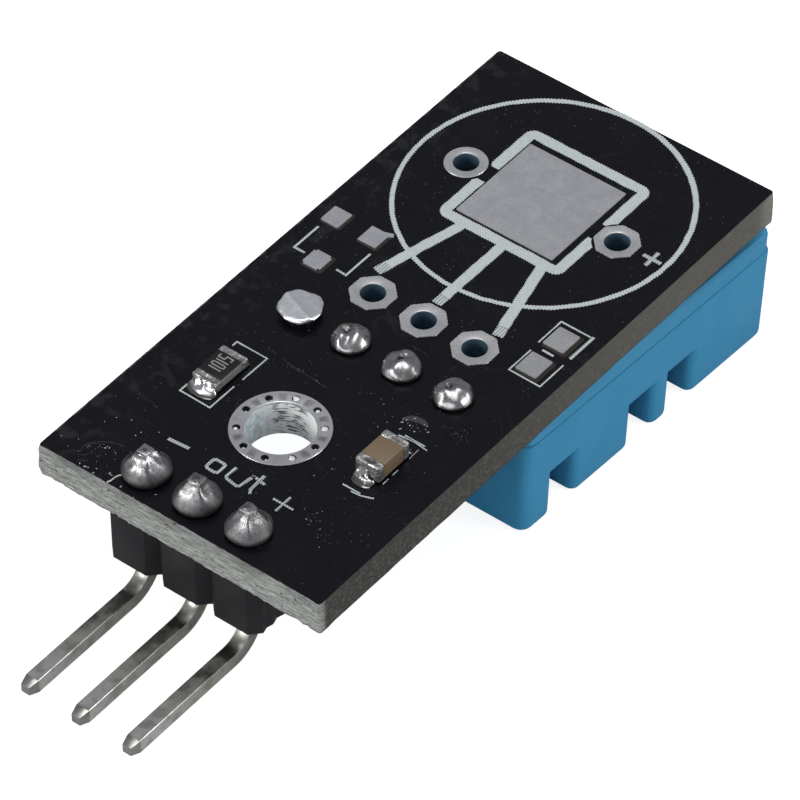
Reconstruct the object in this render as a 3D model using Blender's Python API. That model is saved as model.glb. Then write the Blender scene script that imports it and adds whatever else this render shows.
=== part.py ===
"""Temperature and humidity sensor module on a small black circuit board.

The board is drawn flat first: X runs across it, Y along it from the header end, Z up out of the
soldered face. The sensor hangs under the board on its bent pins and points slightly away from it,
so the whole board is then tipped by SENSOR_TILT until the sensor's front face is level, because
the module rests on that face. All sizes are real sizes in metres.
"""

from math import cos, floor, pi, radians, sin, sqrt, tan

import bmesh
import bpy
from mathutils import Vector
from mathutils.geometry import tessellate_polygon

MM = 0.001

# Circuit board
BOARD_WIDTH = 13.9 * MM
BOARD_LENGTH = 28.9 * MM
BOARD_THICKNESS = 1.6 * MM
BOARD_CORNER = 0.3 * MM

# Metal and ink on the board, and the air left between pieces that touch
METAL_THICKNESS = 0.05 * MM
INK_THICKNESS = 0.03 * MM
SEAT_GAP = 0.02 * MM

# How far a cutter reaches past the surfaces it cuts
CUT_OVERSHOOT = 0.2 * MM

# Mounting hole with its ring of small through holes
MOUNT_X = -0.12 * MM
MOUNT_Y = 6.35 * MM
MOUNT_BORE_RADIUS = 1.42 * MM
MOUNT_RING_RADIUS = 2.03 * MM
VIA_COUNT = 10
VIA_CIRCLE_RADIUS = 1.71 * MM
VIA_RADIUS = 0.165 * MM

# Pin header: three pins bent towards the near end
PIN_PITCH = 2.54 * MM
HEADER_X = -0.12 * MM
HEADER_Y = 1.35 * MM
HEADER_PIN_SIZE = 0.64 * MM
HEADER_PIN_TOP = 1.3 * MM
HEADER_PIN_LEVEL = 5.76 * MM
HEADER_PIN_REACH = 7.57 * MM
HEADER_BEND_RADIUS = 1.42 * MM
HEADER_TAPER_LENGTH = 0.6 * MM
HEADER_TIP_SHARE = 0.55
HEADER_TOP_CHAMFER = 0.08 * MM
HOUSING_HEIGHT = 2.52 * MM
HOUSING_DEPTH = 2.54 * MM
HOUSING_CORNER = 0.45 * MM
HOUSING_PIN_CLEARANCE = 0.03 * MM
HEADER_HOLE_RADIUS = 0.52 * MM
HEADER_SOLDER_RADIUS = 1.05 * MM
HEADER_SOLDER_HEIGHT = 1.0 * MM
HEADER_SOLDER_TOP_RADIUS = 0.5 * MM

# Sensor case, measured from its back face, which is the one under the board
SENSOR_TILT = radians(3.7)
SENSOR_X = 0.32 * MM
SENSOR_NEAR_Y = 13.66 * MM
SENSOR_BACK_DROP = 0.54 * MM
SENSOR_WIDTH = 12.1 * MM
SENSOR_LENGTH = 16.4 * MM
SENSOR_THICKNESS = 5.53 * MM
SENSOR_DRAFT = radians(1.0)
SENSOR_CORNER = 0.55 * MM
SENSOR_EDGE = 0.3 * MM
SENSOR_WALL = 1.2 * MM
SENSOR_FRONT = 1.2 * MM
BACK_COVER_THICKNESS = 0.95 * MM
BACK_COVER_INSET = 0.07 * MM
BACK_COVER_CHAMFER = 0.1 * MM
SPIGOT_DEPTH = 0.45 * MM
SPIGOT_CLEARANCE = 0.05 * MM
SPIGOT_NEAR = 2.3 * MM

# Grille: rows of slots across the front face, as many as the case has room for
SLOT_FIRST = 2.57 * MM
SLOT_PITCH = 2.62 * MM
SLOT_LAST_MARGIN = 3.0 * MM
SLOT_WIDTH = 1.42 * MM
SLOT_CORNER = 0.35 * MM
SLOT_CHAMFER = 0.18 * MM
OPEN_ROWS = (0, 2, 3)
OPEN_SLOT_CEILING = 3.15 * MM
OPEN_SLOT_LENGTH = 2.95 * MM
OPEN_SLOT_FLARE = 0.45 * MM
OPEN_SLOT_LEAN = radians(70)
OPEN_ROW_BAR = 0.9 * MM
CLOSED_ROW_BAR = 1.1 * MM
CLOSED_ROW_MARGIN = 1.45 * MM

# Inside the sensor
INNER_BOARD_DEPTH = 2.1 * MM
INNER_BOARD_THICKNESS = 0.8 * MM
INNER_BOARD_CLEARANCE = 0.1 * MM
INNER_LEDGE = 0.5 * MM
HUMIDITY_WIDTH = 5.0 * MM
HUMIDITY_LENGTH = 6.6 * MM
HUMIDITY_THICKNESS = 0.6 * MM
HUMIDITY_GAP = 0.9 * MM
THERMISTOR_RADIUS = 0.5 * MM
THERMISTOR_HEIGHT = 0.85 * MM
THERMISTOR_GAP = 0.8 * MM
CHIP_WIDTH = 3.9 * MM
CHIP_LENGTH = 5.0 * MM
CHIP_THICKNESS = 0.5 * MM
CHIP_GAP = 1.2 * MM

# Sensor pins and the row of holes that takes them
SENSOR_PIN_COUNT = 4
SENSOR_ROW_X = 0.28 * MM
SENSOR_ROW_Y = 11.76 * MM
SENSOR_PIN_WIDTH = 0.5 * MM
SENSOR_PIN_THICKNESS = 0.25 * MM
SENSOR_PIN_TOP = 0.35 * MM
SENSOR_PIN_BEND = 0.45 * MM
SENSOR_PIN_CLEARANCE = 0.03 * MM
SENSOR_PIN_INNER_END = 3.3 * MM
SENSOR_PIN_FLAT = 0.8 * MM
SENSOR_HOLE_RADIUS = 0.42 * MM
SENSOR_SOLDER_RADIUS = 0.85 * MM
SENSOR_SOLDER_HEIGHT = 0.65 * MM
SENSOR_SOLDER_DIMPLE = 0.1 * MM
SOLDER_FOOT_RADIUS = 0.6 * MM
SOLDER_FOOT_HEIGHT = 0.1 * MM
LUMP_RADIUS = 1.0 * MM
LUMP_WAIST_RADIUS = 0.78 * MM
LUMP_HEIGHT = 0.62 * MM

# Plated holes that hold nothing
SPARE_X = 0.52 * MM
SPARE_Y = 14.43 * MM
SPARE_COUNT = 3
SPARE_RING_ACROSS = 1.85 * MM
SPARE_BORE_RADIUS = 0.52 * MM
SIDE_HOLE_FROM_FRAME = 0.725 * MM
SIDE_HOLE_Y = 22.67 * MM
SIDE_RING_RADIUS = 0.91 * MM
SIDE_BORE_RADIUS = 0.53 * MM

# Bare pads. The square one fills the printed frame, and the small ones stand halfway between
# the row of spare holes and a long edge of the board.
SQUARE_PAD_SIDE_GAP = 0.19 * MM
SQUARE_PAD_END_GAP = 0.23 * MM
TRANSISTOR_FROM_CIRCLE = 0.905 * MM
TRANSISTOR_SPREAD = 0.95 * MM
TRANSISTOR_DROP = 2.4 * MM
TRANSISTOR_PAD_WIDTH = 0.88 * MM
TRANSISTOR_PAD_LENGTH = 0.95 * MM
TRANSISTOR_PAD_NOTCH = 0.1 * MM
TRANSISTOR_TAIL_WIDTH = 0.3 * MM
TRANSISTOR_TAIL_LENGTH = 0.2 * MM
CHIP_PAD_WIDTH = 1.01 * MM
CHIP_PAD_LENGTH = 1.14 * MM
CHIP_PAD_ROWS = (15.1 * MM, 16.86 * MM)
PAD_CORNER = 0.06 * MM

# Printed drawing round the square pad, printed a little off the metal it goes with
PRINT_SHIFT_X = 0.10 * MM
PRINT_CIRCLE_SHIFT_Y = 0.06 * MM
PRINT_FRAME_SHIFT_Y = 0.10 * MM
PRINT_CIRCLE_SHARE = 0.655
PRINT_LINE = 0.3 * MM
PRINT_FRAME_WIDTH = 6.17 * MM
PRINT_FRAME_LENGTH = 6.32 * MM
PRINT_FRAME_LINE = 0.48 * MM
PRINT_FRAME_CORNER = 0.5 * MM
PRINT_RING_CLEARANCE = 1.15 * MM
PRINT_LEG_X = 0.33 * MM
PRINT_LEG_SPREAD = 2.01 * MM
PRINT_LEG_SPLAY = 0.245
PRINT_LEG_LENGTH = 4.1 * MM
PRINT_LEG_WIDTH = 0.56 * MM
PRINT_LEG_ROOT = 0.2 * MM

# Surface resistor and capacitor: width across, length along the board, height
CHIP_PART_Y = 7.24 * MM
CHIP_PART_SEAT = 0.06 * MM
RESISTOR_X = -3.87 * MM
RESISTOR_SIZE = (1.25 * MM, 1.95 * MM, 0.46 * MM)
RESISTOR_BAND = 0.36 * MM
RESISTOR_COAT_THICKNESS = 0.05 * MM
CAPACITOR_X = 4.2 * MM
CAPACITOR_SIZE = (1.2 * MM, 1.95 * MM, 0.84 * MM)
CAPACITOR_BAND = 0.42 * MM
CHIP_CAP_WALL = 0.04 * MM
CHIP_EDGE = 0.05 * MM
RESISTOR_FILLETS = ((0.45 * MM, 0.42 * MM), (0.26 * MM, 0.3 * MM))
CAPACITOR_FILLETS = ((0.62 * MM, 0.6 * MM), (0.34 * MM, 0.5 * MM))

# How finely round shapes are divided
CORNER_STEPS = 3
ROUND_STEPS = 16
MOUNT_STEPS = 32
PRINT_STEPS = 72
VIA_STEPS = 8
SOLDER_STEPS = 18
BEND_STEPS = 7

# Colour, roughness and metallic value of each finish
FINISHES = {
    "black_board": ((0.012, 0.011, 0.014), 0.35, 0.0),
    "tinned_copper": ((0.42, 0.42, 0.44), 0.35, 1.0),
    "bright_solder": ((0.62, 0.62, 0.63), 0.18, 1.0),
    "white_print": ((0.56, 0.63, 0.63), 0.6, 0.0),
    "black_moulding": ((0.028, 0.027, 0.03), 0.5, 0.0),
    "plated_pin": ((0.40, 0.39, 0.36), 0.28, 1.0),
    "blue_moulding": ((0.05, 0.23, 0.42), 0.42, 0.0),
    "green_board": ((0.02, 0.13, 0.05), 0.45, 0.0),
    "pale_ceramic": ((0.45, 0.45, 0.43), 0.6, 0.0),
    "black_glaze": ((0.02, 0.02, 0.018), 0.25, 0.0),
    "tan_ceramic": ((0.22, 0.13, 0.065), 0.45, 0.0),
    "black_resin": ((0.015, 0.015, 0.016), 0.4, 0.0),
}


# Outlines: lists of points in a plane, counterclockwise

def rounded_rectangle(low_a, high_a, low_b, high_b, radius):
    centres = (
        (high_a - radius, low_b + radius, -90),
        (high_a - radius, high_b - radius, 0),
        (low_a + radius, high_b - radius, 90),
        (low_a + radius, low_b + radius, 180),
    )
    points = []
    for centre_a, centre_b, start in centres:
        for step in range(CORNER_STEPS + 1):
            angle = radians(start + 90 * step / CORNER_STEPS)
            points.append((centre_a + radius * cos(angle), centre_b + radius * sin(angle)))
    return points


def rectangle(low_a, high_a, low_b, high_b):
    return [(low_a, low_b), (high_a, low_b), (high_a, high_b), (low_a, high_b)]


def centred_rectangle(centre_a, centre_b, width, length):
    return rectangle(centre_a - width / 2, centre_a + width / 2, centre_b - length / 2, centre_b + length / 2)


def circle(centre_a, centre_b, radius, steps=ROUND_STEPS):
    angles = [2 * pi * step / steps for step in range(steps)]
    return [(centre_a + radius * cos(angle), centre_b + radius * sin(angle)) for angle in angles]


def octagon(across):
    """An octagon with flats along both axes, each flat in two halves, so it pairs with a 16-step circle."""
    corner = across / 2 / cos(pi / 8)
    points = []
    for side in range(8):
        middle = 2 * pi * side / 8
        points.append((across / 2 * cos(middle), across / 2 * sin(middle)))
        points.append((corner * cos(middle + pi / 8), corner * sin(middle + pi / 8)))
    return points


# Solids from outlines

def loop(bm, outline, level, axis="z"):
    """Places an outline across the given axis, at a level along it."""
    if axis == "x":
        return [bm.verts.new((level, a, b)) for a, b in outline]
    if axis == "y":
        return [bm.verts.new((a, level, b)) for a, b in outline]
    return [bm.verts.new((a, b, level)) for a, b in outline]


def wall(bm, first, second):
    for index in range(len(first)):
        after = (index + 1) % len(first)
        bm.faces.new((first[index], first[after], second[after], second[index]))


def cap(bm, rings):
    """Fills a flat face. The first ring is its edge and the others are holes in it."""
    corners = [vertex for ring in rings for vertex in ring]
    triangles = tessellate_polygon([[vertex.co / MM for vertex in ring] for ring in rings])
    for triangle in triangles:
        bm.faces.new([corners[index] for index in triangle])


def finished(bm):
    bmesh.ops.recalc_face_normals(bm, faces=bm.faces)
    return bm


def stacked(levels, axis="z", bore=None, bore_end=None):
    """Joins outlines with equal numbers of points, level after level, and closes both ends.

    A bore runs from the first level to the last, or stops inside at bore_end.
    """
    bm = bmesh.new()
    rings = [loop(bm, outline, level, axis) for outline, level in levels]
    for first, second in zip(rings, rings[1:]):
        wall(bm, first, second)
    first_cap = [rings[0]]
    last_cap = [rings[-1]]
    if bore:
        mouth = loop(bm, bore, levels[0][1], axis)
        end = loop(bm, bore, levels[-1][1] if bore_end is None else bore_end, axis)
        wall(bm, mouth, end)
        first_cap.append(mouth)
        if bore_end is None:
            last_cap.append(end)
        else:
            cap(bm, [end])
    cap(bm, first_cap)
    cap(bm, last_cap)
    return finished(bm)


def plate(outline, low, high, holes=(), axis="z"):
    bm = bmesh.new()
    lower = [loop(bm, ring, low, axis) for ring in (outline, *holes)]
    upper = [loop(bm, ring, high, axis) for ring in (outline, *holes)]
    for first, second in zip(lower, upper):
        wall(bm, first, second)
    cap(bm, lower)
    cap(bm, upper)
    return finished(bm)


def endless(levels):
    """Joins outlines level after level and back to the first, as for a ring or a flanged tube."""
    bm = bmesh.new()
    rings = [loop(bm, outline, level) for outline, level in levels]
    for first, second in zip(rings, rings[1:] + rings[:1]):
        wall(bm, first, second)
    return finished(bm)


def several(solids):
    """Puts separate solids into one mesh, for a cutter."""
    bm = bmesh.new()
    for solid in solids:
        mesh = bpy.data.meshes.new("several")
        solid.to_mesh(mesh)
        solid.free()
        bm.from_mesh(mesh)
        bpy.data.meshes.remove(mesh)
    return bm


def bent_path(points, radius):
    """Rounds every inner corner of a path in a plane with an arc of the given radius."""
    path = [Vector(points[0])]
    for before, corner, after in zip(points, points[1:], points[2:]):
        corner = Vector(corner)
        arriving = (corner - Vector(before)).normalized()
        leaving = (Vector(after) - corner).normalized()
        turn = arriving.angle(leaving)
        setback = radius * tan(turn / 2)
        start = corner - arriving * setback
        inward = (leaving - arriving * arriving.dot(leaving)).normalized()
        for step in range(BEND_STEPS + 1):
            angle = turn * step / BEND_STEPS
            path.append(start + arriving * radius * sin(angle) + inward * radius * (1 - cos(angle)))
    path.append(Vector(points[-1]))
    return path


def bar(path, width, thickness, first_share=1.0, last_share=1.0):
    """Runs a rectangular section along a path in the YZ plane. The two ends can be smaller."""
    bm = bmesh.new()
    rings = []
    for index, point in enumerate(path):
        before = path[max(index - 1, 0)]
        after = path[min(index + 1, len(path) - 1)]
        along = (after - before).normalized()
        across = Vector((-along.y, along.x))
        share = {0: first_share, len(path) - 1: last_share}.get(index, 1.0)
        side = width / 2 * share
        offset = across * (thickness / 2 * share)
        ring = [(-side, point - offset), (side, point - offset), (side, point + offset), (-side, point + offset)]
        rings.append([bm.verts.new((x, spot.x, spot.y)) for x, spot in ring])
    for first, second in zip(rings, rings[1:]):
        wall(bm, first, second)
    cap(bm, [rings[0]])
    cap(bm, [rings[-1]])
    return finished(bm)


# Objects

def clear_scene():
    for item in list(bpy.data.objects):
        bpy.data.objects.remove(item, do_unlink=True)


def finish_material(name):
    material = bpy.data.materials.get(name)
    if material is None:
        colour, roughness, metallic = FINISHES[name]
        material = bpy.data.materials.new(name)
        material.use_nodes = True
        surface = material.node_tree.nodes["Principled BSDF"]
        surface.inputs["Base Color"].default_value = (*colour, 1.0)
        surface.inputs["Roughness"].default_value = roughness
        surface.inputs["Metallic"].default_value = metallic
        material.diffuse_color = (*colour, 1.0)
    return material


def mesh_from(bm, name, finish):
    mesh = bpy.data.meshes.new(name)
    bm.to_mesh(mesh)
    bm.free()
    mesh.materials.append(finish_material(finish))
    mesh.shade_smooth()
    mesh.set_sharp_from_angle(angle=radians(35))
    return mesh


def place(name, mesh, carrier, location=(0.0, 0.0, 0.0), turn=0.0):
    piece = bpy.data.objects.new(name, mesh)
    bpy.context.scene.collection.objects.link(piece)
    piece.parent = carrier
    piece.location = location
    piece.rotation_euler = (0.0, 0.0, turn)
    return piece


def piece_from(bm, name, finish, carrier, location=(0.0, 0.0, 0.0)):
    return place(name, mesh_from(bm, name, finish), carrier, location)


def combine(piece, bm, operation):
    """Cuts a helper solid from a piece, or adds it. The helper lies in the piece's own place."""
    helper = piece_from(bm, piece.name + "_" + operation.lower(), "black_resin", piece.parent, piece.location)
    helper.hide_render = True
    helper.display_type = "WIRE"
    modifier = piece.modifiers.new(helper.name, "BOOLEAN")
    modifier.operation = operation
    modifier.solver = "EXACT"
    modifier.object = helper


def empty(name, carrier=None):
    holder = bpy.data.objects.new(name, None)
    bpy.context.scene.collection.objects.link(holder)
    holder.parent = carrier
    return holder


# Places that several pieces share

def header_columns():
    return [HEADER_X + PIN_PITCH * step for step in (-1, 0, 1)]


def sensor_columns():
    middle = (SENSOR_PIN_COUNT - 1) / 2
    return [SENSOR_ROW_X + PIN_PITCH * (step - middle) for step in range(SENSOR_PIN_COUNT)]


def spare_columns():
    middle = (SPARE_COUNT - 1) / 2
    return [SPARE_X + PIN_PITCH * (step - middle) for step in range(SPARE_COUNT)]


def side_hole_columns():
    spread = PRINT_FRAME_WIDTH / 2 + SIDE_HOLE_FROM_FRAME
    return [-spread, spread]


def print_circle():
    """The printed circle's Y and radius. It runs between the side rings and the board's long edges."""
    last_ring = max(side_hole_columns()) + SIDE_RING_RADIUS
    radius = last_ring + (BOARD_WIDTH / 2 - last_ring) * PRINT_CIRCLE_SHARE
    return SIDE_HOLE_Y + PRINT_CIRCLE_SHIFT_Y, radius


def beside_spare_holes(side):
    """Halfway between the last ring of the spare row and the board's long edge on that side."""
    last_ring = max(side * x for x in spare_columns()) + SPARE_RING_ACROSS / 2
    return side * (last_ring + BOARD_WIDTH / 2) / 2


def via_places():
    places = []
    for step in range(VIA_COUNT):
        angle = 2 * pi * step / VIA_COUNT
        places.append((MOUNT_X + VIA_CIRCLE_RADIUS * cos(angle), MOUNT_Y + VIA_CIRCLE_RADIUS * sin(angle)))
    return places


def plated_hole(bore_radius):
    """The radius that a plated tube needs in the board."""
    return bore_radius + METAL_THICKNESS + SEAT_GAP


# The board and the metal on it

def circuit_board(carrier):
    outline = rounded_rectangle(-BOARD_WIDTH / 2, BOARD_WIDTH / 2, 0.0, BOARD_LENGTH, BOARD_CORNER)
    holes = [circle(MOUNT_X, MOUNT_Y, plated_hole(MOUNT_BORE_RADIUS), MOUNT_STEPS)]
    holes += [circle(x, y, VIA_RADIUS, VIA_STEPS) for x, y in via_places()]
    holes += [circle(x, HEADER_Y, HEADER_HOLE_RADIUS) for x in header_columns()]
    holes += [circle(x, SENSOR_ROW_Y, SENSOR_HOLE_RADIUS) for x in sensor_columns()]
    holes += [circle(x, SPARE_Y, plated_hole(SPARE_BORE_RADIUS)) for x in spare_columns()]
    side_radius = plated_hole(SIDE_BORE_RADIUS)
    holes += [circle(x, SIDE_HOLE_Y, side_radius) for x in side_hole_columns()]
    piece_from(plate(outline, -BOARD_THICKNESS, 0.0, holes), "circuit_board", "black_board", carrier)


def flanged_tube(ring, bore_radius, steps):
    """Plating in a hole: a flat ring on both faces of the board and the tube that joins them."""
    bore = circle(0.0, 0.0, bore_radius, steps)
    tube = circle(0.0, 0.0, bore_radius + METAL_THICKNESS, steps)
    upper = SEAT_GAP
    lower = -BOARD_THICKNESS - SEAT_GAP
    return endless([
        (bore, upper + METAL_THICKNESS),
        (ring, upper + METAL_THICKNESS),
        (ring, upper),
        (tube, upper),
        (tube, lower),
        (ring, lower),
        (ring, lower - METAL_THICKNESS),
        (bore, lower - METAL_THICKNESS),
    ])


def plated_holes(carrier):
    ring = circle(0.0, 0.0, MOUNT_RING_RADIUS, MOUNT_STEPS)
    tube = flanged_tube(ring, MOUNT_BORE_RADIUS, MOUNT_STEPS)
    mount = piece_from(tube, "mounting_hole_plating", "tinned_copper", carrier, (MOUNT_X, MOUNT_Y, 0.0))
    vias = []
    for x, y in via_places():
        outline = circle(x - MOUNT_X, y - MOUNT_Y, VIA_RADIUS, VIA_STEPS)
        vias.append(plate(outline, -BOARD_THICKNESS - CUT_OVERSHOOT, CUT_OVERSHOOT))
    combine(mount, several(vias), "DIFFERENCE")

    spare = mesh_from(
        flanged_tube(octagon(SPARE_RING_ACROSS), SPARE_BORE_RADIUS, ROUND_STEPS),
        "spare_hole_plating", "tinned_copper",
    )
    for number, x in enumerate(spare_columns(), 1):
        place("spare_hole_plating_%d" % number, spare, carrier, (x, SPARE_Y, 0.0))

    sides = (("left", circle(0.0, 0.0, SIDE_RING_RADIUS)), ("right", octagon(2 * SIDE_RING_RADIUS)))
    for (side, outline), x in zip(sides, side_hole_columns()):
        tube = flanged_tube(outline, SIDE_BORE_RADIUS, ROUND_STEPS)
        piece_from(tube, "side_hole_plating_" + side, "tinned_copper", carrier, (x, SIDE_HOLE_Y, 0.0))


def bare_pad(name, x, y, width, length, carrier):
    outline = rounded_rectangle(-width / 2, width / 2, -length / 2, length / 2, PAD_CORNER)
    pad = plate(outline, SEAT_GAP, SEAT_GAP + METAL_THICKNESS)
    piece_from(pad, name, "tinned_copper", carrier, (x, y, 0.0))


def notched_outline(half_width, half_length, notch):
    """A rectangle with a small square taken out of each corner."""
    return [
        (-half_width + notch, -half_length), (half_width - notch, -half_length),
        (half_width - notch, -half_length + notch), (half_width, -half_length + notch),
        (half_width, half_length - notch), (half_width - notch, half_length - notch),
        (half_width - notch, half_length), (-half_width + notch, half_length),
        (-half_width + notch, half_length - notch), (-half_width, half_length - notch),
        (-half_width, -half_length + notch), (-half_width + notch, -half_length + notch),
    ]


def tailed_outline(half_width, half_length, tail_width, tail_length):
    """A rectangle with the bare start of its track at one far corner."""
    return [
        (-half_width, -half_length), (half_width, -half_length), (half_width, half_length - tail_width / 2),
        (half_width + tail_length, half_length), (half_width + tail_length / 2, half_length + tail_width / 2),
        (half_width - tail_width, half_length), (-half_width, half_length),
    ]


def transistor_pad_places():
    """Two pads side by side and one below them. The second is the one nearest the printed circle."""
    middle = beside_spare_holes(-1)
    circle_y, radius = print_circle()
    nearest_x = middle + TRANSISTOR_SPREAD
    y = circle_y - sqrt((radius + TRANSISTOR_FROM_CIRCLE) ** 2 - (nearest_x - PRINT_SHIFT_X) ** 2)
    return [(middle - TRANSISTOR_SPREAD, y), (nearest_x, y), (middle, y - TRANSISTOR_DROP)]


def transistor_pads(carrier):
    half_width = TRANSISTOR_PAD_WIDTH / 2
    half_length = TRANSISTOR_PAD_LENGTH / 2
    plain = rounded_rectangle(-half_width, half_width, -half_length, half_length, PAD_CORNER)
    tailed = tailed_outline(half_width, half_length, TRANSISTOR_TAIL_WIDTH, TRANSISTOR_TAIL_LENGTH)
    notched = notched_outline(half_width, half_length, TRANSISTOR_PAD_NOTCH)
    outlines = (plain, tailed, notched)
    for number, (outline, (x, y)) in enumerate(zip(outlines, transistor_pad_places()), 1):
        pad = plate(outline, SEAT_GAP, SEAT_GAP + METAL_THICKNESS)
        piece_from(pad, "transistor_pad_%d" % number, "tinned_copper", carrier, (x, y, 0.0))


def bare_pads(carrier):
    width = PRINT_FRAME_WIDTH - 2 * (PRINT_FRAME_LINE + SQUARE_PAD_SIDE_GAP)
    length = PRINT_FRAME_LENGTH - 2 * (PRINT_FRAME_LINE + SQUARE_PAD_END_GAP)
    bare_pad("square_pad", 0.0, SIDE_HOLE_Y, width, length, carrier)
    transistor_pads(carrier)
    x = beside_spare_holes(1)
    for number, y in enumerate(CHIP_PAD_ROWS, 1):
        bare_pad("chip_pad_%d" % number, x, y, CHIP_PAD_WIDTH, CHIP_PAD_LENGTH, carrier)


def leg_outline(centre_x, top_y, splay):
    """One printed leg: it starts inside the frame and leans outwards as it runs down."""
    drop = PRINT_LEG_LENGTH + PRINT_LEG_ROOT
    start_x = centre_x - splay * PRINT_LEG_ROOT
    end_x = start_x + splay * drop
    half = PRINT_LEG_WIDTH / 2
    start_y = top_y + PRINT_LEG_ROOT
    end_y = start_y - drop
    return [(end_x - half, end_y), (end_x + half, end_y), (start_x + half, start_y), (start_x - half, start_y)]


def drawing_print(carrier):
    """The printed circle, the frame round the square pad and the three legs, in one film of ink."""
    low = SEAT_GAP
    high = SEAT_GAP + INK_THICKNESS
    centre_x = PRINT_SHIFT_X
    circle_y, radius = print_circle()
    outer = circle(centre_x, circle_y, radius, PRINT_STEPS)
    inner = circle(centre_x, circle_y, radius - PRINT_LINE, PRINT_STEPS)
    drawing = piece_from(plate(outer, low, high, [inner]), "drawing_print", "white_print", carrier)

    centre_y = SIDE_HOLE_Y + PRINT_FRAME_SHIFT_Y
    half_width = PRINT_FRAME_WIDTH / 2
    half_length = PRINT_FRAME_LENGTH / 2
    frame_outer = rounded_rectangle(
        centre_x - half_width, centre_x + half_width, centre_y - half_length, centre_y + half_length,
        PRINT_FRAME_CORNER,
    )
    frame_inner = centred_rectangle(
        centre_x, centre_y, PRINT_FRAME_WIDTH - 2 * PRINT_FRAME_LINE, PRINT_FRAME_LENGTH - 2 * PRINT_FRAME_LINE
    )
    combine(drawing, plate(frame_outer, low, high, [frame_inner]), "UNION")

    leg_top = centre_y - half_length
    for side in (-1, 0, 1):
        outline = leg_outline(PRINT_LEG_X + side * PRINT_LEG_SPREAD, leg_top, side * PRINT_LEG_SPLAY)
        combine(drawing, plate(outline, low, high), "UNION")

    clear_places = [(x, SIDE_HOLE_Y) for x in side_hole_columns()]
    clear_places += [(x, SPARE_Y) for x in spare_columns()]
    clear = [
        plate(circle(x, y, PRINT_RING_CLEARANCE), low - CUT_OVERSHOOT, high + CUT_OVERSHOOT)
        for x, y in clear_places
    ]
    combine(drawing, several(clear), "DIFFERENCE")


# The pin header

def header_housing(carrier):
    """Three blocks in one moulding, with a V groove where the strip can be snapped apart."""
    near = HEADER_Y - HOUSING_DEPTH / 2
    far = HEADER_Y + HOUSING_DEPTH / 2
    near_edge = []
    far_edge = []
    for x in header_columns():
        left = x - PIN_PITCH / 2
        right = x + PIN_PITCH / 2
        near_edge += [(left, near + HOUSING_CORNER), (left + HOUSING_CORNER, near), (right - HOUSING_CORNER, near)]
        far_edge += [(left, far - HOUSING_CORNER), (left + HOUSING_CORNER, far), (right - HOUSING_CORNER, far)]
    near_edge.append((right, near + HOUSING_CORNER))
    far_edge.append((right, far - HOUSING_CORNER))
    opening = HEADER_PIN_SIZE + 2 * HOUSING_PIN_CLEARANCE
    holes = [centred_rectangle(x, HEADER_Y, opening, opening) for x in header_columns()]
    top = -BOARD_THICKNESS - SEAT_GAP
    block = plate(near_edge + far_edge[::-1], top - HOUSING_HEIGHT, top, holes)
    piece_from(block, "header_housing", "black_moulding", carrier)


def header_pins(carrier):
    tip = -HEADER_PIN_REACH
    level = -HEADER_PIN_LEVEL
    path = bent_path([(0.0, HEADER_PIN_TOP), (0.0, level), (tip, level)], HEADER_BEND_RADIUS)
    path.insert(1, Vector((0.0, HEADER_PIN_TOP - HEADER_TOP_CHAMFER)))
    path.insert(len(path) - 1, Vector((tip + HEADER_TAPER_LENGTH, level)))
    top_share = 1.0 - 2 * HEADER_TOP_CHAMFER / HEADER_PIN_SIZE
    pin = bar(path, HEADER_PIN_SIZE, HEADER_PIN_SIZE, top_share, HEADER_TIP_SHARE)
    mesh = mesh_from(pin, "header_pin", "plated_pin")
    for number, x in enumerate(header_columns(), 1):
        place("header_pin_%d" % number, mesh, carrier, (x, HEADER_Y, 0.0))


def solder_levels(radius, top_radius, height, hole_radius):
    """A plug in the hole, then a cone that bulges at its foot and curves in to the pin."""
    plug = hole_radius - SEAT_GAP
    levels = [(circle(0.0, 0.0, plug, SOLDER_STEPS), -BOARD_THICKNESS)]
    levels.append((circle(0.0, 0.0, plug, SOLDER_STEPS), SEAT_GAP))
    shape = ((0.0, 0.97), (0.12, 1.0), (0.3, 0.9), (0.5, 0.62), (0.7, 0.3), (0.88, 0.08), (1.0, 0.0))
    for share, spread in shape:
        ring = top_radius + (radius - top_radius) * spread
        levels.append((circle(0.0, 0.0, ring, SOLDER_STEPS), SEAT_GAP + share * (height - SEAT_GAP)))
    return levels


def header_solder(carrier):
    levels = solder_levels(
        HEADER_SOLDER_RADIUS, HEADER_SOLDER_TOP_RADIUS, HEADER_SOLDER_HEIGHT, HEADER_HOLE_RADIUS
    )
    opening = HEADER_PIN_SIZE + 2 * SEAT_GAP
    joint = stacked(levels, bore=centred_rectangle(0.0, 0.0, opening, opening))
    mesh = mesh_from(joint, "header_solder", "bright_solder")
    for number, x in enumerate(header_columns(), 1):
        place("header_solder_%d" % number, mesh, carrier, (x, HEADER_Y, 0.0))


# The sensor case. Its own frame has Y along the case from the near end and Z up from the back face.

def case_outline(depth, inset=0.0, corner=SENSOR_CORNER):
    """The case's outline at a depth below the back face, drawn in by the draft and an inset."""
    inward = inset + depth * tan(SENSOR_DRAFT)
    half = SENSOR_WIDTH / 2
    return rounded_rectangle(-half + inward, half - inward, inward, SENSOR_LENGTH - inward, corner)


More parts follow.
